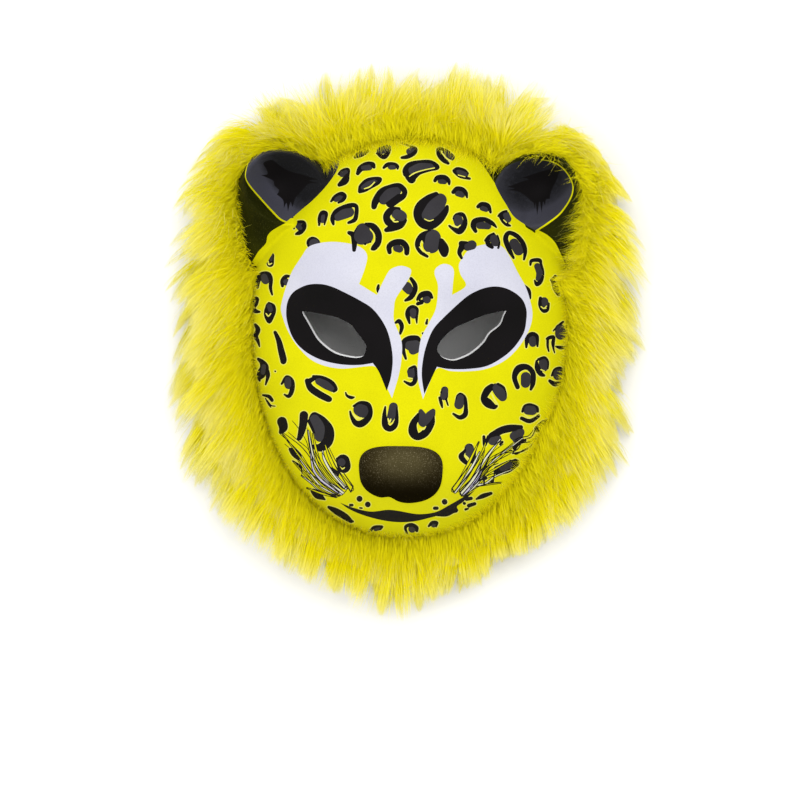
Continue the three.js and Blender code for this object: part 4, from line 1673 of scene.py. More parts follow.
EAR_MARKS = (
    ((263.5, 163), (272, 160), (279, 165), (286, 169.5), (294, 172.5), (302, 174.5),
     (318, 179.5), (318, 179.5), (309, 180.5), (318.5, 183), (318.5, 183), (309, 183.5),
     (305, 187), (301, 191.5), (296, 197), (294.5, 200), (292.5, 207), (292.5, 207),
     (290.5, 202), (288, 211.5), (288, 211.5), (286.5, 203), (284, 208), (284, 208),
     (283, 200), (277, 194.5), (277, 194.5), (279, 190), (274.5, 185.5), (273, 180.5),
     (261, 175), (261, 175), (267.5, 174), (266, 168.5)),
    ((553.6, 166.5), (548.2, 169.5), (540.9, 171.6), (522.7, 177.7), (522.7, 177.7),
     (528.5, 179.3), (519.5, 182.5), (507.3, 187), (507.3, 187), (514.5, 188.4),
     (506.8, 190.2), (506.8, 190.2), (517.3, 191.2), (526.4, 196.4), (531, 200.9),
     (533.6, 203), (535, 209), (535, 209), (535.7, 203), (537.2, 215.5), (537.2, 215.5),
     (539, 202), (540.2, 202), (541.7, 213), (541.7, 213), (543, 201.5), (545, 205.5),
     (545, 205.5), (546, 199.5), (549.5, 199), (549.5, 199), (550.5, 193.6), (552.7, 187.3),
     (555.7, 182), (559.3, 172), (560, 168.2), (557.3, 165)),
)
# Painted shadow: a dark wedge between the forehead and the right ear, where the ear's wall is in
# shade under the fringe, laid in the ear-side ink.
EAR_PAINTED_SHADOWS = (
    ((474, 153), (474, 153), (486, 169.6), (496.6, 186), (496.6, 186), (499, 176), (506, 165.5),
     (518, 160), (530, 156), (530, 156), (500, 150)),
)
EAR_FEET = (
    ((285.5, 223.2), (288, 220.3), (292, 218), (297, 221), (295, 227), (289, 229.5),
     (285.5, 227)),
    ((286, 222.8), (286, 222.8), (278, 227), (271.7, 231), (267.5, 236), (265.8, 243.3),
     (258.3, 251.7), (252, 262), (252, 262), (262, 268), (275, 250), (290, 232)),
    ((537, 229.5), (537, 229.5), (546.9, 234.7), (554.7, 242), (560, 252), (566, 266),
     (566, 266), (556, 266), (545, 250), (534, 238)),
)
EAR_RIM_LINES = (
    ((287, 222.5, 1.6), (280, 219, 1.8), (271, 210, 1.8), (261, 199, 1.6), (250, 186, 1.4),
     (245.5, 177, 1.0), (247, 166, 0.9), (251, 158, 0.8)),
    ((536, 231, 1.6), (549, 222.5, 1.8), (561, 212.5, 1.6), (571, 197, 1.4), (572.5, 184, 1.2),
     (565, 170.5, 1.0), (554, 162.5, 0.9), (541, 159.5, 0.5)),
)
EAR_PRINTS = (
    (EAR_PAINTED_SHADOWS, Ink.EAR_WALL_AND_SHADOW), (EAR_CUPS[:1], Ink.EAR_LEFT), (EAR_CUPS[1:], Ink.EAR_RIGHT),
    (EAR_MARKS, Ink.BLACK), (EAR_FEET, Ink.YELLOW),
)
MOUTH = (
    (340, 502.6), (340, 502.6), (353, 507.6), (370.4, 511.5), (387.8, 509.8), (398.7, 510.9),
    (418.3, 514.1), (435.7, 512), (448.7, 505.4), (457.4, 500.5), (475, 490), (475, 490),
    (463, 502), (457, 506.5), (458, 511), (444.3, 513.8), (431.3, 517.4), (413.9, 521.4),
    (396.5, 522.1), (379.1, 519.6), (361.7, 514.6), (348.7, 508.8),
)
EYE_HOLES = (
    EyeHole(
        ((506.3, 310.8), (506.3, 310.8), (504.2, 315), (500, 325), (490, 333.3), (483.3, 343.3),
         (471.7, 353.3), (461.7, 358.3), (453.3, 360.5), (445, 358.7), (439.2, 354.2),
         (437.2, 348.3), (440, 342), (445, 335.8), (451.7, 330), (460, 325), (468.3, 321.7),
         (476.7, 318), (485, 315), (493.3, 312.8), (503.3, 310.8)),
        slant=(0.19, -0.16),
    ),
    EyeHole(
        ((302.2, 311.7), (302.2, 311.7), (303.3, 315), (306.3, 320), (310, 326.7),
         (316.7, 338.3), (325, 346.7), (335, 353.3), (346.7, 356.7), (356.7, 357.8),
         (363.3, 355.8), (366.3, 348.3), (365, 343.3), (361.7, 338.3), (356.7, 331.7),
         (351.7, 325.3), (343.3, 320), (335, 316.7), (326.7, 315), (318.3, 313.3),
         (311.7, 312), (305, 311)),
        slant=(-0.10, -0.16),
    ),
)


@dataclass
class PrintedCover:
    """The knit cover on the front of the foam, with its whole print.

    The holes are outlines on the front. The halo, the bleeds and the whisker line are widths in
    a sheet's pixels. Besides the print's borders and a lattice, the mesh follows some levels near
    the rim and some shares of the ears and of the nose, where the form bends most.
    """

    form: FaceForm
    camera: StudioCamera
    holes: list[Array]
    lattice: float = 1.05
    halo: float = 5.5
    bleed: float = 1.5
    core_bleed: float = 9.0
    whisker_line: float = 5.0
    border_gap: float = 0.22
    lattice_gap: float = 0.5
    rim_gap: float = 0.12
    nose_edge: float = 0.995
    rim_levels: tuple[float, ...] = (2.5, 5, 8, 11, 14, 17, 20, 23, 26)
    ear_shares: tuple[float, ...] = (
        0.86, 0.9, 0.93, 0.955, 1.0, 1.015, 1.045, 1.06, 1.08, 1.1, 1.125, 1.15, 1.18, 1.21,
        1.25, 1.3, 1.35, 1.4,
    )
    nose_shares: tuple[float, ...] = (0.8, 0.88, 0.93, 0.965, 0.985, 1.01, 1.03)
    shapes: list[PrintedShape] = field(default_factory=list)

    def brushed(self, sheet: Sheet, strokes: tuple[Path, ...], ink: Ink,
                grow: float = 0.0, step: float = 4.0, over_ears: bool = False) -> None:
        """Add an area made of brush strokes.

        Args:
            sheet: The sheet that the strokes were measured on.
            strokes: The strokes.
            ink: The ink they are printed in.
            grow: How much wider than drawn they are, on each side.
            step: The fineness of the outline, in the sheet's pixels.
            over_ears: Whether it may lie on an ear.
        """
        drawn = np.concatenate([np.asarray(stroke, float) for stroke in strokes])
        room = drawn[:, 2].max() + grow + 3 * step
        low, high = drawn[:, :2].min(axis=0) - room, drawn[:, :2].max(axis=0) + room
        columns, rows = np.ceil((high - low) / step).astype(int) + 1
        x, y = low[0] + np.arange(columns) * step, low[1] + np.arange(rows) * step
        grid = np.stack(np.meshgrid(x, y), axis=-1).reshape(-1, 2)

        def outside(places: Array) -> Array:
            """How far places on the sheet lie outside the area."""
            return brush_distance(strokes, places, grow, step * 0.6)

        loops = contours(outside(grid).reshape(rows, columns), low, step)
        self.shapes.append(
            PrintedShape(
                ink, [sheet.to_picture(thin_out(loop, step * 0.7)) for loop in loops],
                sheet.to_picture(low), sheet.to_picture(high),
                lambda pixels: outside(sheet.from_picture(pixels)) < 0, over_ears,
            )
        )

    def outlined(self, outline: Sequence[tuple[float, float]], ink: Ink,
                 over_ears: bool = False) -> None:
        """Add an area inside one smooth closed outline in the picture's pixels.

        Args:
            outline: The outline.
            ink: The ink it is printed in.
            over_ears: Whether it may lie on an ear.
        """
        loop = flowing(outline, 0.9, closed=True)
        self.shapes.append(
            PrintedShape(
                ink, [loop], loop.min(axis=0), loop.max(axis=0),
                lambda pixels: within(loop, pixels), over_ears,
            )
        )

    def spotted(self, over_white: bool) -> None:
        """Print the spots that lie under, or over, the white patches.

        Args:
            over_white: Whether the spots over the white patches are printed.
        """
        for sheet, spots in SPOTS.items():
            for spot in spots:
                if spot.over_white != over_white:
                    continue
                if spot.core:
                    self.brushed(sheet, spot.core, Ink.GREY, self.core_bleed)
                self.brushed(sheet, spot.ink, Ink.BLACK, self.bleed)
                if spot.core:
                    self.brushed(sheet, spot.core, Ink.GREY)
                if spot.slit:
                    self.brushed(sheet, spot.slit, Ink.HALO, step=3.0)

    def draw(self) -> None:
        """Lay down the whole print, from the lowest area to the top one."""
        for sheet, spots in SPOTS.items():
            for spot in spots:
                self.brushed(sheet, spot.ink + spot.core, Ink.HALO, self.halo + self.bleed)
        self.spotted(over_white=False)
        for outline in WHITE_PATCHES:
            self.outlined(outline, Ink.WHITE)
        self.spotted(over_white=True)
        for outline in EYE_PATCHES:
            self.outlined(outline, Ink.BLACK)
        for sheet, whiskers in WHISKERS.items():
            for whisker in whiskers:
                self.brushed(sheet, (whisker.path,), Ink.BLACK, self.whisker_line, 3.0)
                self.brushed(sheet, (whisker.path,), whisker.ink, step=3.0)
        for sheet, lines in WHISKER_LINES.items():
            for line in lines:
                self.brushed(sheet, (line,), Ink.BLACK, step=3.0)
        self.outlined(MOUTH, Ink.BLACK)
        for outlines, ink in EAR_PRINTS:
            for outline in outlines:
                self.outlined(outline, ink, over_ears=True)
        for line in EAR_RIM_LINES:
            self.brushed(PICTURE, (line,), Ink.YELLOW, step=0.6, over_ears=True)

    def on_ear(self, x: Array, y: Array) -> Array:
        """Whether places lie on an ear."""
        return self.form.ear.height(x, y) > self.form.face(x, y)

    def crease(self, side: int) -> Array:
        """The line inside the rim where one ear's cup meets the face.

        Args:
            side: 1 for the ear at positive x, or -1 for the other.

        Returns:
            Rows of x and y.
        """
        ear = self.form.ear
        turn = even_turns(220)
        radii = np.arange(0.0, 30.0, 0.25)

        def place(turn: Array, radius: Array) -> tuple[Array, Array]:
            """x and y at an angle and a radius about the ear's middle."""
            return side * (ear.x + np.cos(turn) * radius), ear.y + np.sin(turn) * radius

        off_ear = ~self.on_ear(*place(turn[:, None], radii))
        rows = np.flatnonzero(off_ear.any(axis=1))
        first = np.maximum(off_ear.argmax(axis=1), 1)[rows]
        radius, _ = bisect(
            radii[first - 1], radii[first], lambda r: self.on_ear(*place(turn[rows], r)), 16
        )
        line = np.column_stack(place(turn[rows], radius))
        gaps = np.flatnonzero(np.diff(rows) > 1)
        return np.roll(line, -(gaps[0] + 1), axis=0) if len(gaps) else line

    def borders(self) -> list[tuple[Array, bool]]:
        """The lines that have to be edges of the mesh, and whether each is closed.

        Returns:
            Each line's points, and whether it is closed.
        """
        form = self.form
        closed = [polar(*form.rim_table), *self.holes, form.nose.ring(self.nose_edge, 150)]
        creases = [(self.crease(side), False) for side in (1, -1)]
        loops = [loop for shape in self.shapes for loop in shape.loops]
        landed = self.camera.land(np.concatenate(loops), form)
        ends = np.cumsum([len(loop) for loop in loops])[:-1]
        printed = [(loop, True) for loop in np.split(landed, ends)]
        return [(line, True) for line in closed] + creases + printed

    def rings(self) -> Array:
        """Points along the rim's levels and round the ears and the nose.

        Returns:
            Rows of x and y.
        """
        form, (turn, _) = self.form, self.form.rim_table
        rings = [
            polar(turn, form.reach(form.front, turn, level) - 0.05) for level in self.rim_levels
        ]
        rings += [form.ear.ring(share, 150, side) for side in (1, -1) for share in self.ear_shares]
        rings += [form.nose.ring(share, 130) for share in self.nose_shares]
        return np.concatenate(rings)

    def grid(self) -> Array:
        """The points of a lattice of even triangles over the whole face.

        Returns:
            Rows of x and y.
        """
        ys = np.arange(-116, 104, self.lattice * math.sqrt(3) / 2)
        xs = np.arange(-90, 90, self.lattice)
        x, y = np.meshgrid(xs, ys)
        x = x + (np.arange(len(ys)) % 2)[:, None] * self.lattice / 2
        return np.column_stack([x.ravel(), y.ravel()])

    def build(self) -> bpy.types.Object:
        """Mesh the cover so that every border of the print is an edge.

        Returns:
            The cover.
        """
        form = self.form
        self.draw()
        fixed, edges = gathered(self.borders())
        flat = fixed
        for added, gap in ((self.rings(), self.border_gap), (self.grid(), self.lattice_gap)):
            inside = np.hypot(*added.T) < form.rim_at(*added.T) - self.rim_gap
            flat = np.concatenate([flat, clear_of(flat, added[inside], gap)])
        log.info("cover: %d points, %d of them on borders", len(flat), len(fixed))
        flat, faces = triangulate(flat, edges, form.rim_at, self.holes, side=1)
        z = np.maximum(form.front(*flat.T), 0.0)
        z[np.abs(np.hypot(*flat.T) - form.rim_at(*flat.T)) < 0.02] = 0.0
        return make_mesh(
            "foam_cover", np.column_stack([flat, z]), faces,
            [COVER_FINISHES[ink].material() for ink in Ink],
            self.inks_at(flat[faces].mean(axis=1)),
        )

    def inks_at(self, places: Array) -> Array:
        """The ink at each place on the cover.

        Args:
            places: Rows of x and y in face millimetres.

        Returns:
            The number of each place's material slot.
        """
        form = self.form
        x, y = places[:, 0], places[:, 1]
        inks = np.where(self.on_ear(x, y), Ink.EAR_WALL_AND_SHADOW.value, Ink.YELLOW.value)
        pixels = self.camera.pixels(np.column_stack([places, form.front(x, y)]))
        for shape in self.shapes:
            near = np.flatnonzero(((pixels >= shape.low) & (pixels <= shape.high)).all(axis=1))
            if not len(near):
                continue
            found = near[shape.holds(pixels[near])]
            if not shape.over_ears:
                found = found[inks[found] != Ink.EAR_WALL_AND_SHADOW.value]
            inks[found] = shape.ink.value
        inks[form.nose.share(x, y) < self.nose_edge] = Ink.NOSE.value
        return inks


def make_mesh(
    name: str,
    points: Array,
    faces: Array,
    materials: Sequence[bpy.types.Material],
    slots: Array | None = None,
    smooth: bool = True,
    checked: bool = True,
) -> bpy.types.Object:
    """Make an object from points in face millimetres.

    Args:
        name: The object's name.
        points: Rows of x, y and z.
        faces: Rows of three or four point numbers.
        materials: The object's materials.
        slots: The material number of each face, or None where there is one.
        smooth: Whether the faces are shaded as one surface.
        checked: Whether faulty faces are looked for and dropped.

    Returns:
        The object, in metres in the row frame.
    """
    places = (points + FACE_IN_ROW) * MM
    mesh = bpy.data.meshes.new(name)
    sides = faces.shape[1]
    mesh.vertices.add(len(places))
    mesh.vertices.foreach_set("co", places.astype(np.float32).ravel())
    mesh.loops.add(faces.size)
    mesh.loops.foreach_set("vertex_index", faces.astype(np.int32).ravel())
    mesh.polygons.add(len(faces))
    mesh.polygons.foreach_set("loop_start", np.arange(len(faces), dtype=np.int32) * sides)
    for material in materials:
        mesh.materials.append(material)
    if slots is not None:
        mesh.polygons.foreach_set("material_index", slots.astype(np.int32))
    mesh.polygons.foreach_set("use_smooth", np.full(len(faces), smooth))
    mesh.update(calc_edges=True)
    if checked:
        mesh.validate()
    made = bpy.data.objects.new(name, mesh)
    bpy.context.scene.collection.objects.link(made)
    return made


@dataclass
class FoamBody:
    """The foam behind the cover: its inner face, the cut eye holes and the back rim.

    Each hole is its edge on the front of the sheet and on the back. Like the cover's, the mesh
    follows some levels near the rim and some shares of the ears.
    """

    form: FaceForm
    holes: list[tuple[Array, Array]]
    lattice: float = 3.0
    lattice_gap: float = 0.9
    rim_gap: float = 0.4
    cut_steps: int = 3
    rim_levels: tuple[float, ...] = (4, 9, 14, 20)
    ear_shares: tuple[float, ...] = (0.5, 0.65, 0.8, 0.9, 1.0)

    def inner_face(self, turn: Array, rim: Array) -> tuple[Array, Array]:
        """Mesh the back of the sheet, inside its rim and round the eye holes.

        Args:
            turn: The angles of the rim's points.
            rim: The radius of the back's edge on the table at each angle.

        Returns:
            The points with their heights, and the triangles' point numbers.
        """
        form = self.form
        outlines = [back[:, :2] for _, back in self.holes]
        fixed, edges = gathered([(line, True) for line in (polar(turn, rim), *outlines)])
        few = turn[::3]
        loose = [polar(few, form.reach(form.back, few, level)) for level in self.rim_levels]
        loose += [form.ear.ring(share, 60, side) for side in (1, -1) for share in self.ear_shares]
        ys, xs = np.arange(-112, 100, self.lattice), np.arange(-84, 84, self.lattice)
        loose.append(np.stack(np.meshgrid(xs, ys), axis=-1).reshape(-1, 2))

        def rim_at(x: Array, y: Array) -> Array:
            """Radius of the sheet's back edge on the table, in the direction of a place."""
            return at_angle(np.arctan2(y, x), turn, rim)

        free = np.concatenate(loose)
        free = free[np.hypot(*free.T) < rim_at(*free.T) - self.rim_gap]
        flat = np.concatenate([fixed, clear_of(fixed, free, self.lattice_gap)])
        flat, faces = triangulate(flat, edges, rim_at, outlines, side=-1)
        z = np.maximum(form.back(*flat.T), 0.0)
        z[:len(turn)] = 0.0
        return np.column_stack([flat, z]), faces

    @staticmethod
    def band(loops: Sequence[Array], start: int, outwards: bool) -> Array:
        """Join rings of as many points each, from one to the next.

        Args:
            loops: The rings.
            start: The number of the first ring's first point.
            outwards: Whether the faces keep the rings' own direction.

        Returns:
            The triangles' point numbers.
        """
        count = len(loops[0])
        faces = []
        for k in range(len(loops) - 1):
            near, far = chain(count, start + k * count), chain(count, start + (k + 1) * count)
            quads = np.column_stack([near, far[:, ::-1]])
            quads = quads if outwards else quads[:, ::-1]
            faces += [quads[:, [0, 1, 2]], quads[:, [0, 2, 3]]]
        return np.concatenate(faces)

    def build(self) -> bpy.types.Object:
        """Mesh the inner face, the walls of the eye holes and the flat back rim.

        Returns:
            The foam.
        """
        turn, front_rim = self.form.rim_table
        rim = self.form.reach(self.form.back, turn, 0.0)
        inner, faces = self.inner_face(turn, rim)
        edges = [
            np.column_stack([polar(turn, radius), np.zeros(len(turn))])
            for radius in (rim, front_rim)
        ]
        bands = [(edges, False)]
        for front, back in self.holes:
            x, y, _ = front.T
            turns_left = (x * np.roll(y, -1) - y * np.roll(x, -1)).sum() > 0
            shares = np.linspace(0, 1, self.cut_steps + 1)
            bands.append(([lerp(front, back, share) for share in shares], turns_left))
        points, walls, total = [inner], [], len(inner)
        for loops, outwards in bands:
            points += loops
            walls.append(self.band(loops, total, outwards))
            total += sum(len(loop) for loop in loops)
        cut = np.concatenate(walls)
        return make_mesh(
            "foam_body", np.concatenate(points), np.concatenate([faces, cut]),
            [INNER_FOAM.material(), CUT_FOAM.material()],
            np.repeat([0, 1], [len(faces), len(cut)]),
        )


# ------------------------------------------------------------------ the ruff


@dataclass
class PlushRuff:
    """The strip of long pile round the face: the size of its foot and the way its hair lies.

    Right, left, top and chin are radii of the hair's mean outer edge, and the reaches are how far
    the hair ends past the foot. The profile lists shares of the way from seam to edge and heights.
    The fringe and the trim are listed at angles in degrees.
    """

    form: FaceForm
    right: float = 109.5
    left: float = 116.5
    top: float = 126.0
    chin: float = 131.0
    square_above: float = 2.5
    square_below: float = 2.1
    gap: float = 0.7
    reach_top: float = 17.0
    reach_side: float = 15.0
    reach_chin: float = 15.0
    narrowest: float = 5.0
    past_rim: float = 1.5
    seam_level: float = 15.0
    seam_spread: float = 0.02
    base_level: float = 0.4
    rays: int = 360
    rings: int = 13
    profile: tuple[tuple[float, float], ...] = (
        (0.0, 13.0), (0.04, 17.0), (0.12, 20.5), (0.28, 22.5), (0.45, 21.5), (0.62, 18.0),
        (0.78, 13.0), (0.9, 8.0), (0.98, 4.0), (1.0, 2.0),
    )
    fringe_turns: tuple[float, ...] = (
        0, 12, 20, 26, 33, 38, 42, 47, 52, 57, 62, 66, 74, 100, 112, 122, 130, 137, 150, 180,
        225, 262, 274, 283, 292, 300, 316, 324, 331, 338, 348,
    )
    fringe_reach: tuple[float, ...] = (
        2.2, 2.5, 6.5, 10, 11.5, 11, 9, 6.5, 8, 8.5, 5.5, 4, 4.5, 5, 4, 4, 4.5, 3.5, 2, 1,
        1.2, 1.6, 2.5, 3.5, 4.5, 5.2, 5, 5, 3.8, 2.4, 2,
    )
    trim_turns: tuple[float, ...] = (
        0, 105, 130, 160, 182, 203, 213, 225, 236, 243, 250, 256, 262, 268, 274, 282, 290, 298,
        308, 316, 324, 332, 340,
    )
    trim_reach: tuple[float, ...] = (
        0, 0, 5, 5, 0, 0, -5, -9, -9, -4, -2, -5, 2, 3, -3, -6, -9, -12, -12, -8, -6, -2, 0,
    )
    turns: Array = field(init=False)
    seams: Array = field(init=False)
    edges: Array = field(init=False)

    def __post_init__(self) -> None:
        """Work out the seam and the foot's edge on every ray."""
        self.turns = even_turns(self.rays)
        near = [self.form.reach(self.form.front, self.turns + aside, self.seam_level)
                for aside in (-self.seam_spread, 0.0, self.seam_spread)]
        self.seams = np.max(near, axis=0) + self.gap
        s = np.sin(self.turns)
        hair = lerp(self.reach_side, self.reach_top, smooth_step(0.4, 0.95, s))
        hair = lerp(hair, self.reach_chin, smooth_step(-0.4, -0.95, s))
        rim = self.form.reach(self.form.front, self.turns, 0.5)
        least = np.maximum(self.seams + self.narrowest, rim + self.past_rim)
        self.edges = np.maximum(self.soft_edge(self.turns) - hair, least)

    def soft_edge(self, turn: Array) -> Array:
        """The radius of the mean outer edge of the hair.

        Args:
            turn: The angles.

        Returns:
            A radius for each angle.
        """
        c, s = np.cos(turn), np.sin(turn)
        across = np.abs(c) / np.where(c > 0, self.right, self.left)
        along = np.abs(s) / np.where(s > 0, self.top, self.chin)
        power = np.where(s > 0, self.square_above, self.square_below)
        return (across**power + along**power) ** (-1 / power)

    def width_at(self, turn: Array) -> tuple[Array, Array]:
        """The radii of the seam and of the foot's edge at any angle."""
        return at_angle(turn, self.turns, self.seams), at_angle(turn, self.turns, self.edges)

    def on_foot(self, turn: Array, share: Array) -> Array:
        """Places on the top of the foot.

        Args:
            turn: The angle of each place about the middle of the face.
            share: How far each is from the seam, at 0, to the outer edge, at 1.

        Returns:
            Rows of x, y and z.
        """
        seam, edge = self.width_at(turn)
        shares, heights = np.array(self.profile).T
        return np.column_stack(
            [polar(turn, lerp(seam, edge, share)), np.interp(share, shares, heights)]
        )

    def fringe_at(self, turn: Array) -> Array:
        """How far the hair at the seam falls inwards over the foam, in millimetres."""
        degrees = np.degrees(turn) % 360
        return np.interp(degrees, self.fringe_turns, self.fringe_reach, period=360.0)

    def trim_at(self, turn: Array) -> Array:
        """How far the hair is fuller, or trimmed where below nought, in millimetres."""
        degrees = np.degrees(turn) % 360
        return np.interp(degrees, self.trim_turns, self.trim_reach, period=360.0)

    def build_foot(self) -> bpy.types.Object:
        """Mesh the dense foot of the pile as a closed ring on its backing.

        Returns:
            The foot.
        """
        rings = [self.on_foot(self.turns, np.full(self.rays, share))
                 for share in np.linspace(0, 1, self.rings)]
        for ring in (rings[-1], rings[0]):
            flat = ring.copy()
            flat[:, 2] = self.base_level
            rings.append(flat)
        count = len(rings)
        every, slots = [], []
        for k in range(count):
            near = chain(self.rays, k * self.rays)
            far = chain(self.rays, ((k + 1) % count) * self.rays)
            every.append(np.column_stack([near[:, 0], far[:, 0], far[:, 1], near[:, 1]]))
            slots.append(np.full(self.rays, 1 if k == count - 2 else 0))
        return make_mesh(
            "ruff_foot", np.concatenate(rings), np.concatenate(every),
            [PELT.material(), BACKING.material()], np.concatenate(slots),
        )


class Waves:
    """A smooth uneven field over the table, made of a few seeded waves."""

    def __init__(self, rng: np.random.Generator, size: float, count: int = 9) -> None:
        """Pick the waves.

        Args:
            rng: The seeded draws.
            size: About the waves' length in millimetres.
            count: How many waves.
        """
        turn = rng.uniform(0, TURN, count)
        pitch = rng.uniform(0.6, 1.6, count) * TURN / size
        self.ways = polar(turn, pitch).T
        self.starts = rng.uniform(0, TURN, count)

    def at(self, places: Array) -> Array:
        """The field's value at places, from about -1 to 1."""
        waves = np.sin(places[..., :2] @ self.ways + self.starts)
        return waves.sum(axis=-1) / math.sqrt(len(self.starts)) / 1.4


@dataclass(frozen=True)
class PileLayer:
    """One piece of the pile.

    The shares are how far its roots reach from the seam, at 0, to the foot's edge, at 1. A clump
    of 1 brings the tips of a lock to one point, past is how far beyond the ruff's soft edge the
    hair may end, and tone lifts the hair towards its lit colours. Wisps are fewer and more uneven
    than tufts.
    """

    name: str
    strands: int
    rings: int
    shares: tuple[float, float]
    length: float
    width: float
    clump: float
    past: float
    tone: float
    wisps: bool = False


@dataclass
class Clumps:
    """The middles of clumps of hair: where they root, how they lie and what they belong to."""

    turn: Array
    share: Array
    roots: Array
    sway: Array
    length: Array
    parent: Array


@dataclass
class Strands:
    """Hairs as they grow: curves, and the direction, thickness and tone of each."""

    curves: Array
    facing: Array
    widths: Array
    tones: Array


@dataclass
class PileMaker:
    """Grows the pile on the ruff's foot, in fine tufts that are drawn into larger locks.

    A pair holds the two ends that a value runs between, from root to tip or from seam to edge, or
    the least and the greatest of a draw. The crown and the chin are spans of the sine of the angle
    about the middle of the face. Tones run from 0, shaded, to 1, lit.
    """

    ruff: PlushRuff
    lock_gap: float = 9.0
    tuft_gap: float = 3.0
    wisp_gap: float = 3.6
    crown: tuple[float, float] = (0.70, 0.96)
    chin: tuple[float, float] = (-0.55, -0.95)
    seam_band: float = 0.34
    lean: tuple[float, float] = (0.25, 1.55)
    outwards: tuple[float, float] = (0.75, 0.15)
    rise: tuple[float, float] = (0.75, 0.35)
    seam_rise: float = 0.9
    fall: tuple[float, float] = (-0.05, -0.50)
    bend: float = 0.75
    lock_sway: float = 0.30
    hair_sway: float = 0.24
    hair_lengths: tuple[float, float] = (0.72, 1.06)
    slants: tuple[float, float] = (0.60, 0.86)
    shortest: float = 6.0
    loose_share: float = 0.12
    loose_pull: float = 0.15
    widths: tuple[float, float] = (0.75, 1.25)
    taper: float = 0.55
    tilt: tuple[float, float] = (-0.35, 0.85)
    uneven: float = 0.16
    tone_ends: tuple[float, float] = (0.02, 0.97)
    chin_shade: float = 0.55
    chin_rows: tuple[float, float] = (-70.0, -115.0)
    wall_levels: tuple[float, float, float] = (12.0, 46.0, 2.0)
    wall_share: float = 0.6
    swing: tuple[float, float] = (0.40, 0.45)
    stop_depth: float = 1.2

    def __post_init__(self) -> None:
        """Start the seeded draws and lay out the locks, tufts and wisps."""
        self.rng = np.random.default_rng(SEED)
        self.sway = Waves(self.rng, 34.0)
        self.fine_sway = Waves(self.rng, 8.0)
        self.lift = Waves(self.rng, 30.0)
        self.tones = Waves(self.rng, 38.0)
        self.curl = Waves(self.rng, 13.0)
        self.locks = self.clumps(self.lock_gap, None, 0.18, (0.84, 1.18))
        self.tufts = self.clumps(self.tuft_gap, self.locks, 0.18, (0.82, 1.14))
        self.wisps = self.clumps(self.wisp_gap, self.locks, 0.26, (0.62, 1.25))

    def scatter(self, count: int, shares: tuple[float, float]) -> tuple[Array, Array]:
        """Places spread evenly over the foot.

        Args:
            count: How many places.
            shares: The first and last share of the way from seam to edge.

        Returns:
            The angle and the share of each place.
        """
        draws = count * 5
        turn = self.rng.uniform(0, TURN, draws)
        share = self.rng.uniform(*shares, draws)
        seam, edge = self.ruff.width_at(turn)
        weight = lerp(seam, edge, share) * np.maximum(edge - seam, 8.0)
        kept = np.flatnonzero(self.rng.uniform(0, 1, draws) < weight / weight.max())[:count]
        return turn[kept], share[kept]

    def clumps(self, gap: float, parents: Clumps | None, wander: float,
               lengths: tuple[float, float]) -> Clumps:
        """Spread clumps over the foot, each lying nearly as the larger one that it is part of.

        Args:
            gap: About how far apart they are.
            parents: The larger clumps, or None where these are the largest.
            wander: How much their directions differ, in radians.
            lengths: The least and the greatest length, as a share of the layer's.

        Returns:
            The clumps.
        """
        area = math.pi * np.mean(self.ruff.edges**2 - self.ruff.seams**2)
        turn, share = self.scatter(int(area / gap**2), (0.0, 1.0))
        roots = self.ruff.on_foot(turn, share)
        count = len(roots)
        sway = self.rng.normal(0, wander, count)
        length = self.rng.uniform(*lengths, count)
        if parents is None:
            parent = np.arange(count)
            sway = sway + self.lock_sway * self.sway.at(roots)
        else:
            parent = self.nearest(roots, parents.roots)
            sway = sway + parents.sway[parent]
            length = length * parents.length[parent]
        return Clumps(turn, share, roots, sway, length, parent)

    @staticmethod
    def nearest(places: Array, middles: Array, batch: int = 4000) -> Array:
        """The number of the nearest middle to each place, seen from above.

        Args:
            places: Rows of x, y and more.
            middles: Rows of x, y and more.
            batch: How many places are taken at once.

        Returns:
            A number for each place.
        """
        found = np.empty(len(places), int)
        for start in range(0, len(places), batch):
            part = slice(start, start + batch)
            across = places[part, None, 0] - middles[None, :, 0]
            along = places[part, None, 1] - middles[None, :, 1]
            found[part] = (across**2 + along**2).argmin(axis=1)
        return found

    def hang(self, turn: Array) -> Array:
        """How freely hair hangs at an angle: not at the crown, fully elsewhere."""
        return 1.0 - smooth_step(*self.crown, np.sin(turn))

    def held_tone(self, tone: Array, spread: float) -> Array:
        """Tones with each hair's own difference, held within the ends that the map has."""
        return np.clip(tone + self.rng.normal(0, spread, len(tone)), *self.tone_ends)

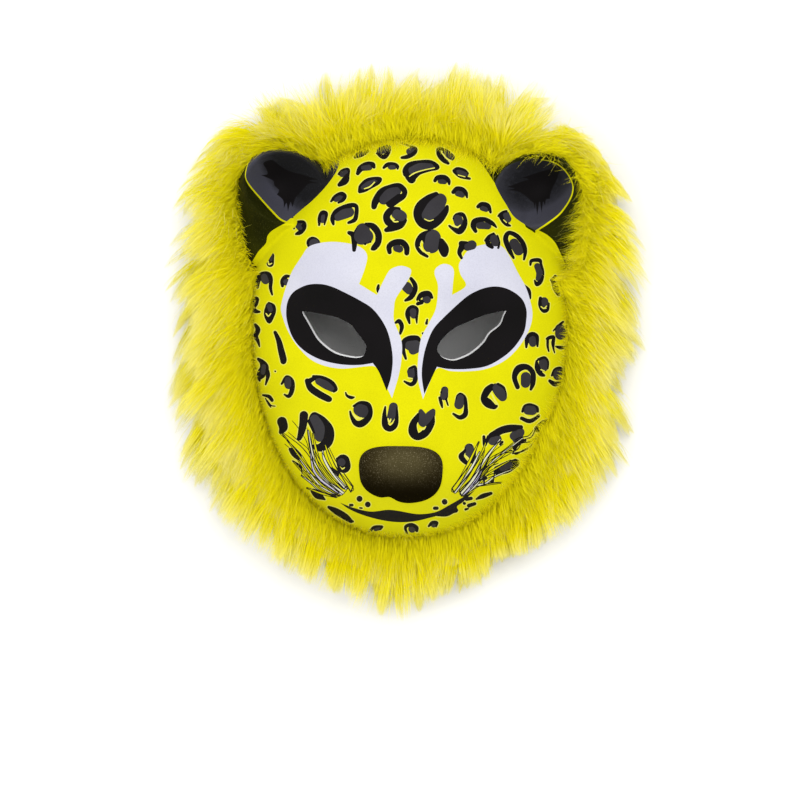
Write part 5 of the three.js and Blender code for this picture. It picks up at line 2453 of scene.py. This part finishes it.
    def grow(self, hair: Clumps, length: Array, rings: int, unsure: Array) -> Array:
        """Curves of hairs that rise from the foot, fall outwards and hang down the sides.

        Args:
            hair: Where the hairs root and how they lie.
            length: Each hair's length.
            rings: How many points each curve has.
            unsure: Added to each root's share, so that hair by the seam goes both ways.

        Returns:
            Curves indexed by hair, point and coordinate.
        """
        turn, roots = hair.turn, hair.roots
        bend = self.bend * self.curl.at(roots)
        hang = self.hang(turn)
        at_seam = 1.0 - smooth_step(0.0, self.seam_band, hair.share + unsure)
        early = lerp(*self.outwards, at_seam)
        rise = lerp(lerp(*self.rise, hair.share), self.seam_rise, at_seam)
        rise = rise * (1 + 0.2 * self.lift.at(roots))
        fall = lerp(*self.fall, smooth_step(0.3, 1.0, hair.share))
        curve = [roots]
        for k in range(1, rings):
            along = (k - 0.5) / (rings - 1)
            aim = turn + hair.sway + bend * (along - 0.3)
            out = polar(aim, lerp(early, 1.0, along**0.8))
            out[:, 1] -= hang * lerp(*self.lean, along)
            way = unit(np.column_stack([out, lerp(rise, fall, along)]))
            curve.append(curve[-1] + way * (length / (rings - 1))[:, None])
        made = np.stack(curve, axis=1)
        made[:, :, 2] = np.maximum(made[:, :, 2], 0.6)
        return made

    def held_length(self, hair: Clumps, length: float, past: float) -> Array:
        """Lengths that keep the hair within a distance past the ruff's soft outer edge.

        Args:
            hair: Where the hairs root and how they lie.
            length: The layer's length.
            past: How far past the edge the hair may end.

        Returns:
            A length for each hair.
        """
        s = np.sin(hair.turn)
        side = 1.0 + 0.12 * (1 - np.abs(s)) + 0.22 * smooth_step(*self.chin, s)
        room = self.ruff.soft_edge(hair.turn) + past - np.hypot(*hair.roots[:, :2].T)
        room = room + self.ruff.trim_at(hair.turn)
        slant = lerp(*self.slants, smooth_step(*self.crown, np.abs(s)))
        return np.minimum(length * hair.length * side, np.maximum(room, self.shortest) / slant)

    def layer(self, layer: PileLayer) -> Strands:
        """Grow one layer of the pile.

        Args:
            layer: The layer.

        Returns:
            Its strands.
        """
        rng = self.rng
        clumps = self.wisps if layer.wisps else self.tufts
        least_tight, gather, wander = (0.8, 0.12, 0.12) if layer.wisps else (0.6, 0.30, 0.20)
        turn, share = self.scatter(layer.strands, layer.shares)
        roots = self.ruff.on_foot(turn, share)
        tuft = self.nearest(roots, clumps.roots)
        lock = clumps.parent[tuft]
        count = len(roots)
        own = Clumps(
            turn, share, roots, clumps.sway[tuft] + rng.normal(0, self.hair_sway, count),
            clumps.length[tuft] * rng.uniform(*self.hair_lengths, count), tuft,
        )
        curves = []
        for hair in (self.locks, clumps, own):
            held = self.held_length(hair, layer.length, layer.past + 2.5 * self.lift.at(hair.roots))
            unsure = rng.normal(0, 0.13, len(held))
            curves.append(self.grow(hair, held, layer.rings, unsure))
        lock_curve, tuft_curve, own_curve = curves
        along = np.linspace(0, 1, layer.rings)
        loose = rng.uniform(0, 1, count) < self.loose_share
        tight = layer.clump * lerp(0.2, 1.0, smooth_step(0.15, 0.85, share))
        tight = tight * rng.uniform(least_tight, 1.0, count)
        tight = tight * np.where(loose, self.loose_pull, 1.0)
        pull = tight[:, None] * along**1.2
        offset = (roots - clumps.roots[tuft])[:, None, :] * (1 - pull)[..., None]
        shaped = lerp(
            own_curve, tuft_curve[tuft] + offset, np.minimum(pull * 1.2, 1)[..., None]
        )
        tip = lock_curve[lock][:, -1:, :] - shaped[:, -1:, :]
        shaped = shaped + tip * (gather * pull * along)[..., None]
        shaped = shaped + rng.normal(0, wander, shaped.shape) * along[None, :, None]
        shaped[:, :, 2] = np.maximum(shaped[:, :, 2], 0.5)
        tone = 0.30 + 0.56 * share + 0.18 * self.tones.at(roots) + layer.tone
        tone = tone - self.chin_shade * share * smooth_step(*self.chin_rows, roots[:, 1])
        tone = self.held_tone(tone, 0.07)
        widths = layer.width * rng.uniform(*self.widths, count) / 2
        facing = np.column_stack([polar(turn, lerp(*self.tilt, share)), np.ones(count)])
        facing = unit(facing + rng.normal(0, self.uneven, facing.shape))
        return Strands(shaped, facing, widths, tone)

    def seam_roots(self, turn: Array, fall: Array) -> Array:
        """Roots at the seam: on the foam's wall and on the foot beside it.

        Args:
            turn: The angle of each root.
            fall: How far inwards the hair falls there.

        Returns:
            Rows of x, y and z.
        """
        rng, ruff = self.rng, self.ruff
        lowest, _, gap = self.wall_levels
        levels = np.arange(*self.wall_levels)
        walls = np.stack(
            [ruff.form.reach(ruff.form.front, ruff.turns, level) for level in levels]
        )
        walls = np.minimum.accumulate(np.maximum(walls, 60.0))
        highest = np.where(walls > ruff.seams - 7.5, levels[:, None], 0).max(axis=0)
        top = np.minimum(at_angle(turn, ruff.turns, highest), 14.0 + 3.2 * fall)
        level = lowest + (top - lowest) * rng.uniform(0, 1, len(turn)) ** 0.8
        column = turn / TURN * ruff.rays
        left, row = column.astype(int) % ruff.rays, (level - lowest) / gap
        low = np.clip(row.astype(int), 0, len(levels) - 2)
        right, across, up = (left + 1) % ruff.rays, column % 1.0, np.clip(row - low, 0, 1)
        radius = 0.5 + lerp(
            lerp(walls[low, left], walls[low, right], across),
            lerp(walls[low + 1, left], walls[low + 1, right], across),
            up,
        )
        on_wall = np.column_stack([polar(turn, radius), level])
        on_foot = ruff.on_foot(turn, rng.uniform(0.0, 0.2, len(turn)))
        chosen = rng.uniform(0, 1, len(turn)) < self.wall_share
        return np.where(chosen[:, None], on_wall, on_foot)

    def fringe(self, count: int, width: float, stray: float = 1.0) -> Strands:
        """Grow the hair that stands at the seam and falls over the foam's edge and outwards.

        Args:
            count: How many hairs.
            width: Their width at the root.
            stray: How much longer and looser than the dense fringe they are.

        Returns:
            The fringe's strands.
        """
        rng, form, rings = self.rng, self.ruff.form, 4
        turn = rng.uniform(0, TURN, count * 2)
        fall = self.ruff.fringe_at(turn)
        kept = rng.uniform(0, 10, count * 2) < 3.5 + fall
        turn, fall = turn[kept][:count], fall[kept][:count]
        count = len(turn)
        roots = self.seam_roots(turn, fall)
        swing = self.swing[0] * self.sway.at(roots) + self.swing[1] * self.fine_sway.at(roots)
        swing = swing + rng.normal(0, 0.28 * stray, count)
        falls_in = rng.uniform(0, 1, count) < lerp(0.42, 0.60, smooth_step(1.5, 5.0, fall))
        far = rng.uniform(0.25, 1.0, count)
        inward = lerp(0.7, 1.0, smooth_step(1.5, 4.0, fall))
        inward = inward * lerp(1.0, 0.75, smooth_step(5.0, 8.0, fall))
        lean = np.where(falls_in, far * inward, -far)
        start = rng.uniform(-0.25, 0.30, count)
        length = np.where(falls_in, 3.6 + 1.2 * fall, 15.0) * rng.uniform(0.6, 1.2, count) * stray
        rise = rng.uniform(0.5, 1.0, count)
        hang = np.where(falls_in, 0.0, self.hang(turn))
        inwards = -polar(turn + swing, 1.0)
        curve, stopped = [roots], np.zeros(count, bool)
        for k in range(1, rings):
            along = (k - 0.5) / (rings - 1)
            flat = inwards * lerp(start, lean, along)[:, None]
            flat[:, 1] -= hang * along * 0.6
            way = unit(np.column_stack([flat, lerp(rise, 0.55 - np.abs(lean), along)]))
            place = curve[-1] + way * (length / (rings - 1))[:, None]
            cover = form.front(place[:, 0], place[:, 1]) + 0.4 + 0.8 * rng.uniform(0, 1, count)
            place[:, 2] = np.maximum(place[:, 2], np.minimum(cover, curve[-1][:, 2] + 5.0))
            stopped |= place[:, 2] < cover - self.stop_depth
            curve.append(np.where(stopped[:, None], lerp(curve[-1], place, 0.05), place))
        facing = np.column_stack([-inwards * 0.2, np.ones(count)])
        facing = unit(facing + rng.normal(0, self.uneven, (count, 3)))
        tone = self.held_tone(0.72 + 0.16 * self.tones.at(roots), 0.08)
        slim = np.where(falls_in, lerp(1.0, 0.6, smooth_step(1.8, 3.5, fall)), 1.0)
        widths = width * slim * rng.uniform(*self.widths, count) / 2
        return Strands(np.stack(curve, axis=1), facing, widths, tone)

    def mesh(self, name: str, strands: Strands, material: bpy.types.Material,
             end: float) -> bpy.types.Object:
        """Mesh strands as fine tapering blades that are shaded with the pile's surface.

        Args:
            name: The piece's name.
            strands: The strands.
            material: Their material.
            end: How far along the material's root-to-tip colours their tips are.

        Returns:
            The piece.
        """
        curves, widths = strands.curves, strands.widths
        count, rings, _ = curves.shape
        ways = unit(np.gradient(curves, axis=1))
        flat = unit(np.cross(np.array([0.0, 0.0, 1.0]), ways) + np.array([1e-4, 0.0, 0.0]))
        upright = np.cross(ways, flat)
        twist = self.rng.uniform(-0.9, 0.9, count)[:, None, None]
        aside = flat * np.cos(twist) + upright * np.sin(twist)
        steps = np.linspace(0, 1, rings)
        spread = (widths[:, None] * (1 - self.taper * steps))[..., None] * aside
        pairs = np.stack([curves - spread, curves + spread], axis=2)[:, :-1]
        points = np.concatenate([pairs.reshape(count, -1, 3), curves[:, -1:, :]], axis=1)
        per = points.shape[1]
        pattern = []
        for a in range(0, 2 * (rings - 2), 2):
            pattern += [(a, a + 2, a + 3), (a, a + 3, a + 1)]
        pattern.append((per - 3, per - 1, per - 2))
        faces = (np.arange(count)[:, None, None] * per + np.array(pattern)[None]).reshape(-1, 3)
        made = make_mesh(name, points.reshape(-1, 3), faces, [material], checked=False)
        made.data.normals_split_custom_set_from_vertices(
            np.repeat(strands.facing, per, axis=0).tolist()
        )
        share = np.append(np.repeat(steps[:-1], 2), 1.0)
        slim = np.append(np.tile([-0.002, 0.002], rings - 1), 0.0)
        u = strands.tones[:, None] + slim[None]
        v = np.broadcast_to(lerp(0.01, end, share), u.shape)
        uv = np.stack([u, v], axis=-1).reshape(-1, 2)
        layer = made.data.uv_layers.new(name=BAKE_MAP)
        layer.data.foreach_set("uv", uv[faces.ravel()].astype(np.float32).ravel())
        return made


LAYERS = (
    PileLayer("pile_under", 31000, 4, (0.0, 1.0), 18.0, 0.40, 0.35, -13.0, -0.06),
    PileLayer("pile_body", 37500, 4, (0.0, 1.0), 23.0, 0.30, 0.55, -8.0, 0.0),
    PileLayer("pile_wisps", 28000, 5, (0.2, 1.0), 29.0, 0.23, 0.90, 6.0, 0.06, wisps=True),
)
FRINGE_HAIRS = 39500
STRAY_HAIRS = 5000
LAYER_END, FRINGE_END, STRAY_END = 0.99, 0.60, 0.85


# ------------------------------------------------------------------ the studio


@dataclass
class Studio:
    """A pale table top and soft light from above."""

    table_size: float = 6.0
    sky: float = 0.95

    def table(self) -> bpy.types.Object:
        """Lay the table top just under the mask.

        Returns:
            The table top.
        """
        half = self.table_size / 2
        corners = np.array([[-half, -half], [half, -half], [half, half], [-half, half]])
        flat = np.column_stack([corners / MM, np.full(4, -0.05)])
        made = make_mesh(
            "table_top", flat, np.array([[0, 1, 2, 3]]), [TABLE_TOP.material()], smooth=False
        )
        return made

    def lamp(self, name: str, place: Sequence[float], size: float, power: float) -> None:
        """Hang a soft square lamp that faces the middle of the mask.

        Args:
            name: The lamp's name.
            place: Where it hangs, in metres.
            size: The width of its square in metres.
            power: Its power in watts.
        """
        data = bpy.data.lights.new(name, "AREA")
        data.shape = "SQUARE"
        data.size, data.energy = size, power
        lamp = bpy.data.objects.new(name, data)
        bpy.context.scene.collection.objects.link(lamp)
        lamp.location = place
        aim = Vector((0.0, -0.02, 0.03)) - lamp.location
        lamp.rotation_euler = aim.to_track_quat("-Z", "Y").to_euler()

    def build(self) -> None:
        """Make the table, the sky's even light and the lamps."""
        self.table()
        world = bpy.data.worlds.new("studio_sky")
        world.use_nodes = True
        back = world.node_tree.nodes["Background"]
        back.inputs["Color"].default_value = (1.0, 1.0, 1.0, 1.0)
        back.inputs["Strength"].default_value = self.sky
        bpy.context.scene.world = world
        self.lamp("key_lamp", (0.35, 0.55, 1.5), 1.1, 11.5)
        self.lamp("fill_lamp", (-0.65, -0.30, 1.3), 1.4, 5.5)
        scene = bpy.context.scene
        scene.view_settings.view_transform = "Standard"
        scene.view_settings.look = "None"


def attach(piece: bpy.types.Object, node: str) -> None:
    """Let a piece stand for a CAD node and ride with it, with the node hidden.

    Args:
        piece: The piece.
        node: The node that it stands for.
    """
    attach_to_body(piece, "root")
    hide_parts(node)
    piece.data.calc_loop_triangles()
    log.info("%s: %d triangles", piece.name, len(piece.data.loop_triangles))


def main() -> None:
    logging.basicConfig(level=logging.INFO, format="%(message)s")
    form = FaceForm()
    camera = StudioCamera()
    camera.build()
    Studio().build()
    holes = [hole.cut(camera, form) for hole in EYE_HOLES]
    fronts = [front[:, :2] for front, _ in holes]
    attach(PrintedCover(form, camera, fronts).build(), "foam_face")
    attach(FoamBody(form, holes).build(), "foam_face")
    ruff = PlushRuff(form)
    attach(ruff.build_foot(), "plush_ruff")
    pile = LONG_PILE.material()
    maker = PileMaker(ruff)
    grown = [(layer.name, maker.layer(layer), LAYER_END) for layer in LAYERS]
    grown.append(("pile_fringe", maker.fringe(FRINGE_HAIRS, 0.30), FRINGE_END))
    grown.append(("stray_hair", maker.fringe(STRAY_HAIRS, 0.15, stray=1.5), STRAY_END))
    for name, strands, end in grown:
        attach(maker.mesh(name, strands, pile, end), "plush_ruff")


if __name__ == "__main__":
    main()
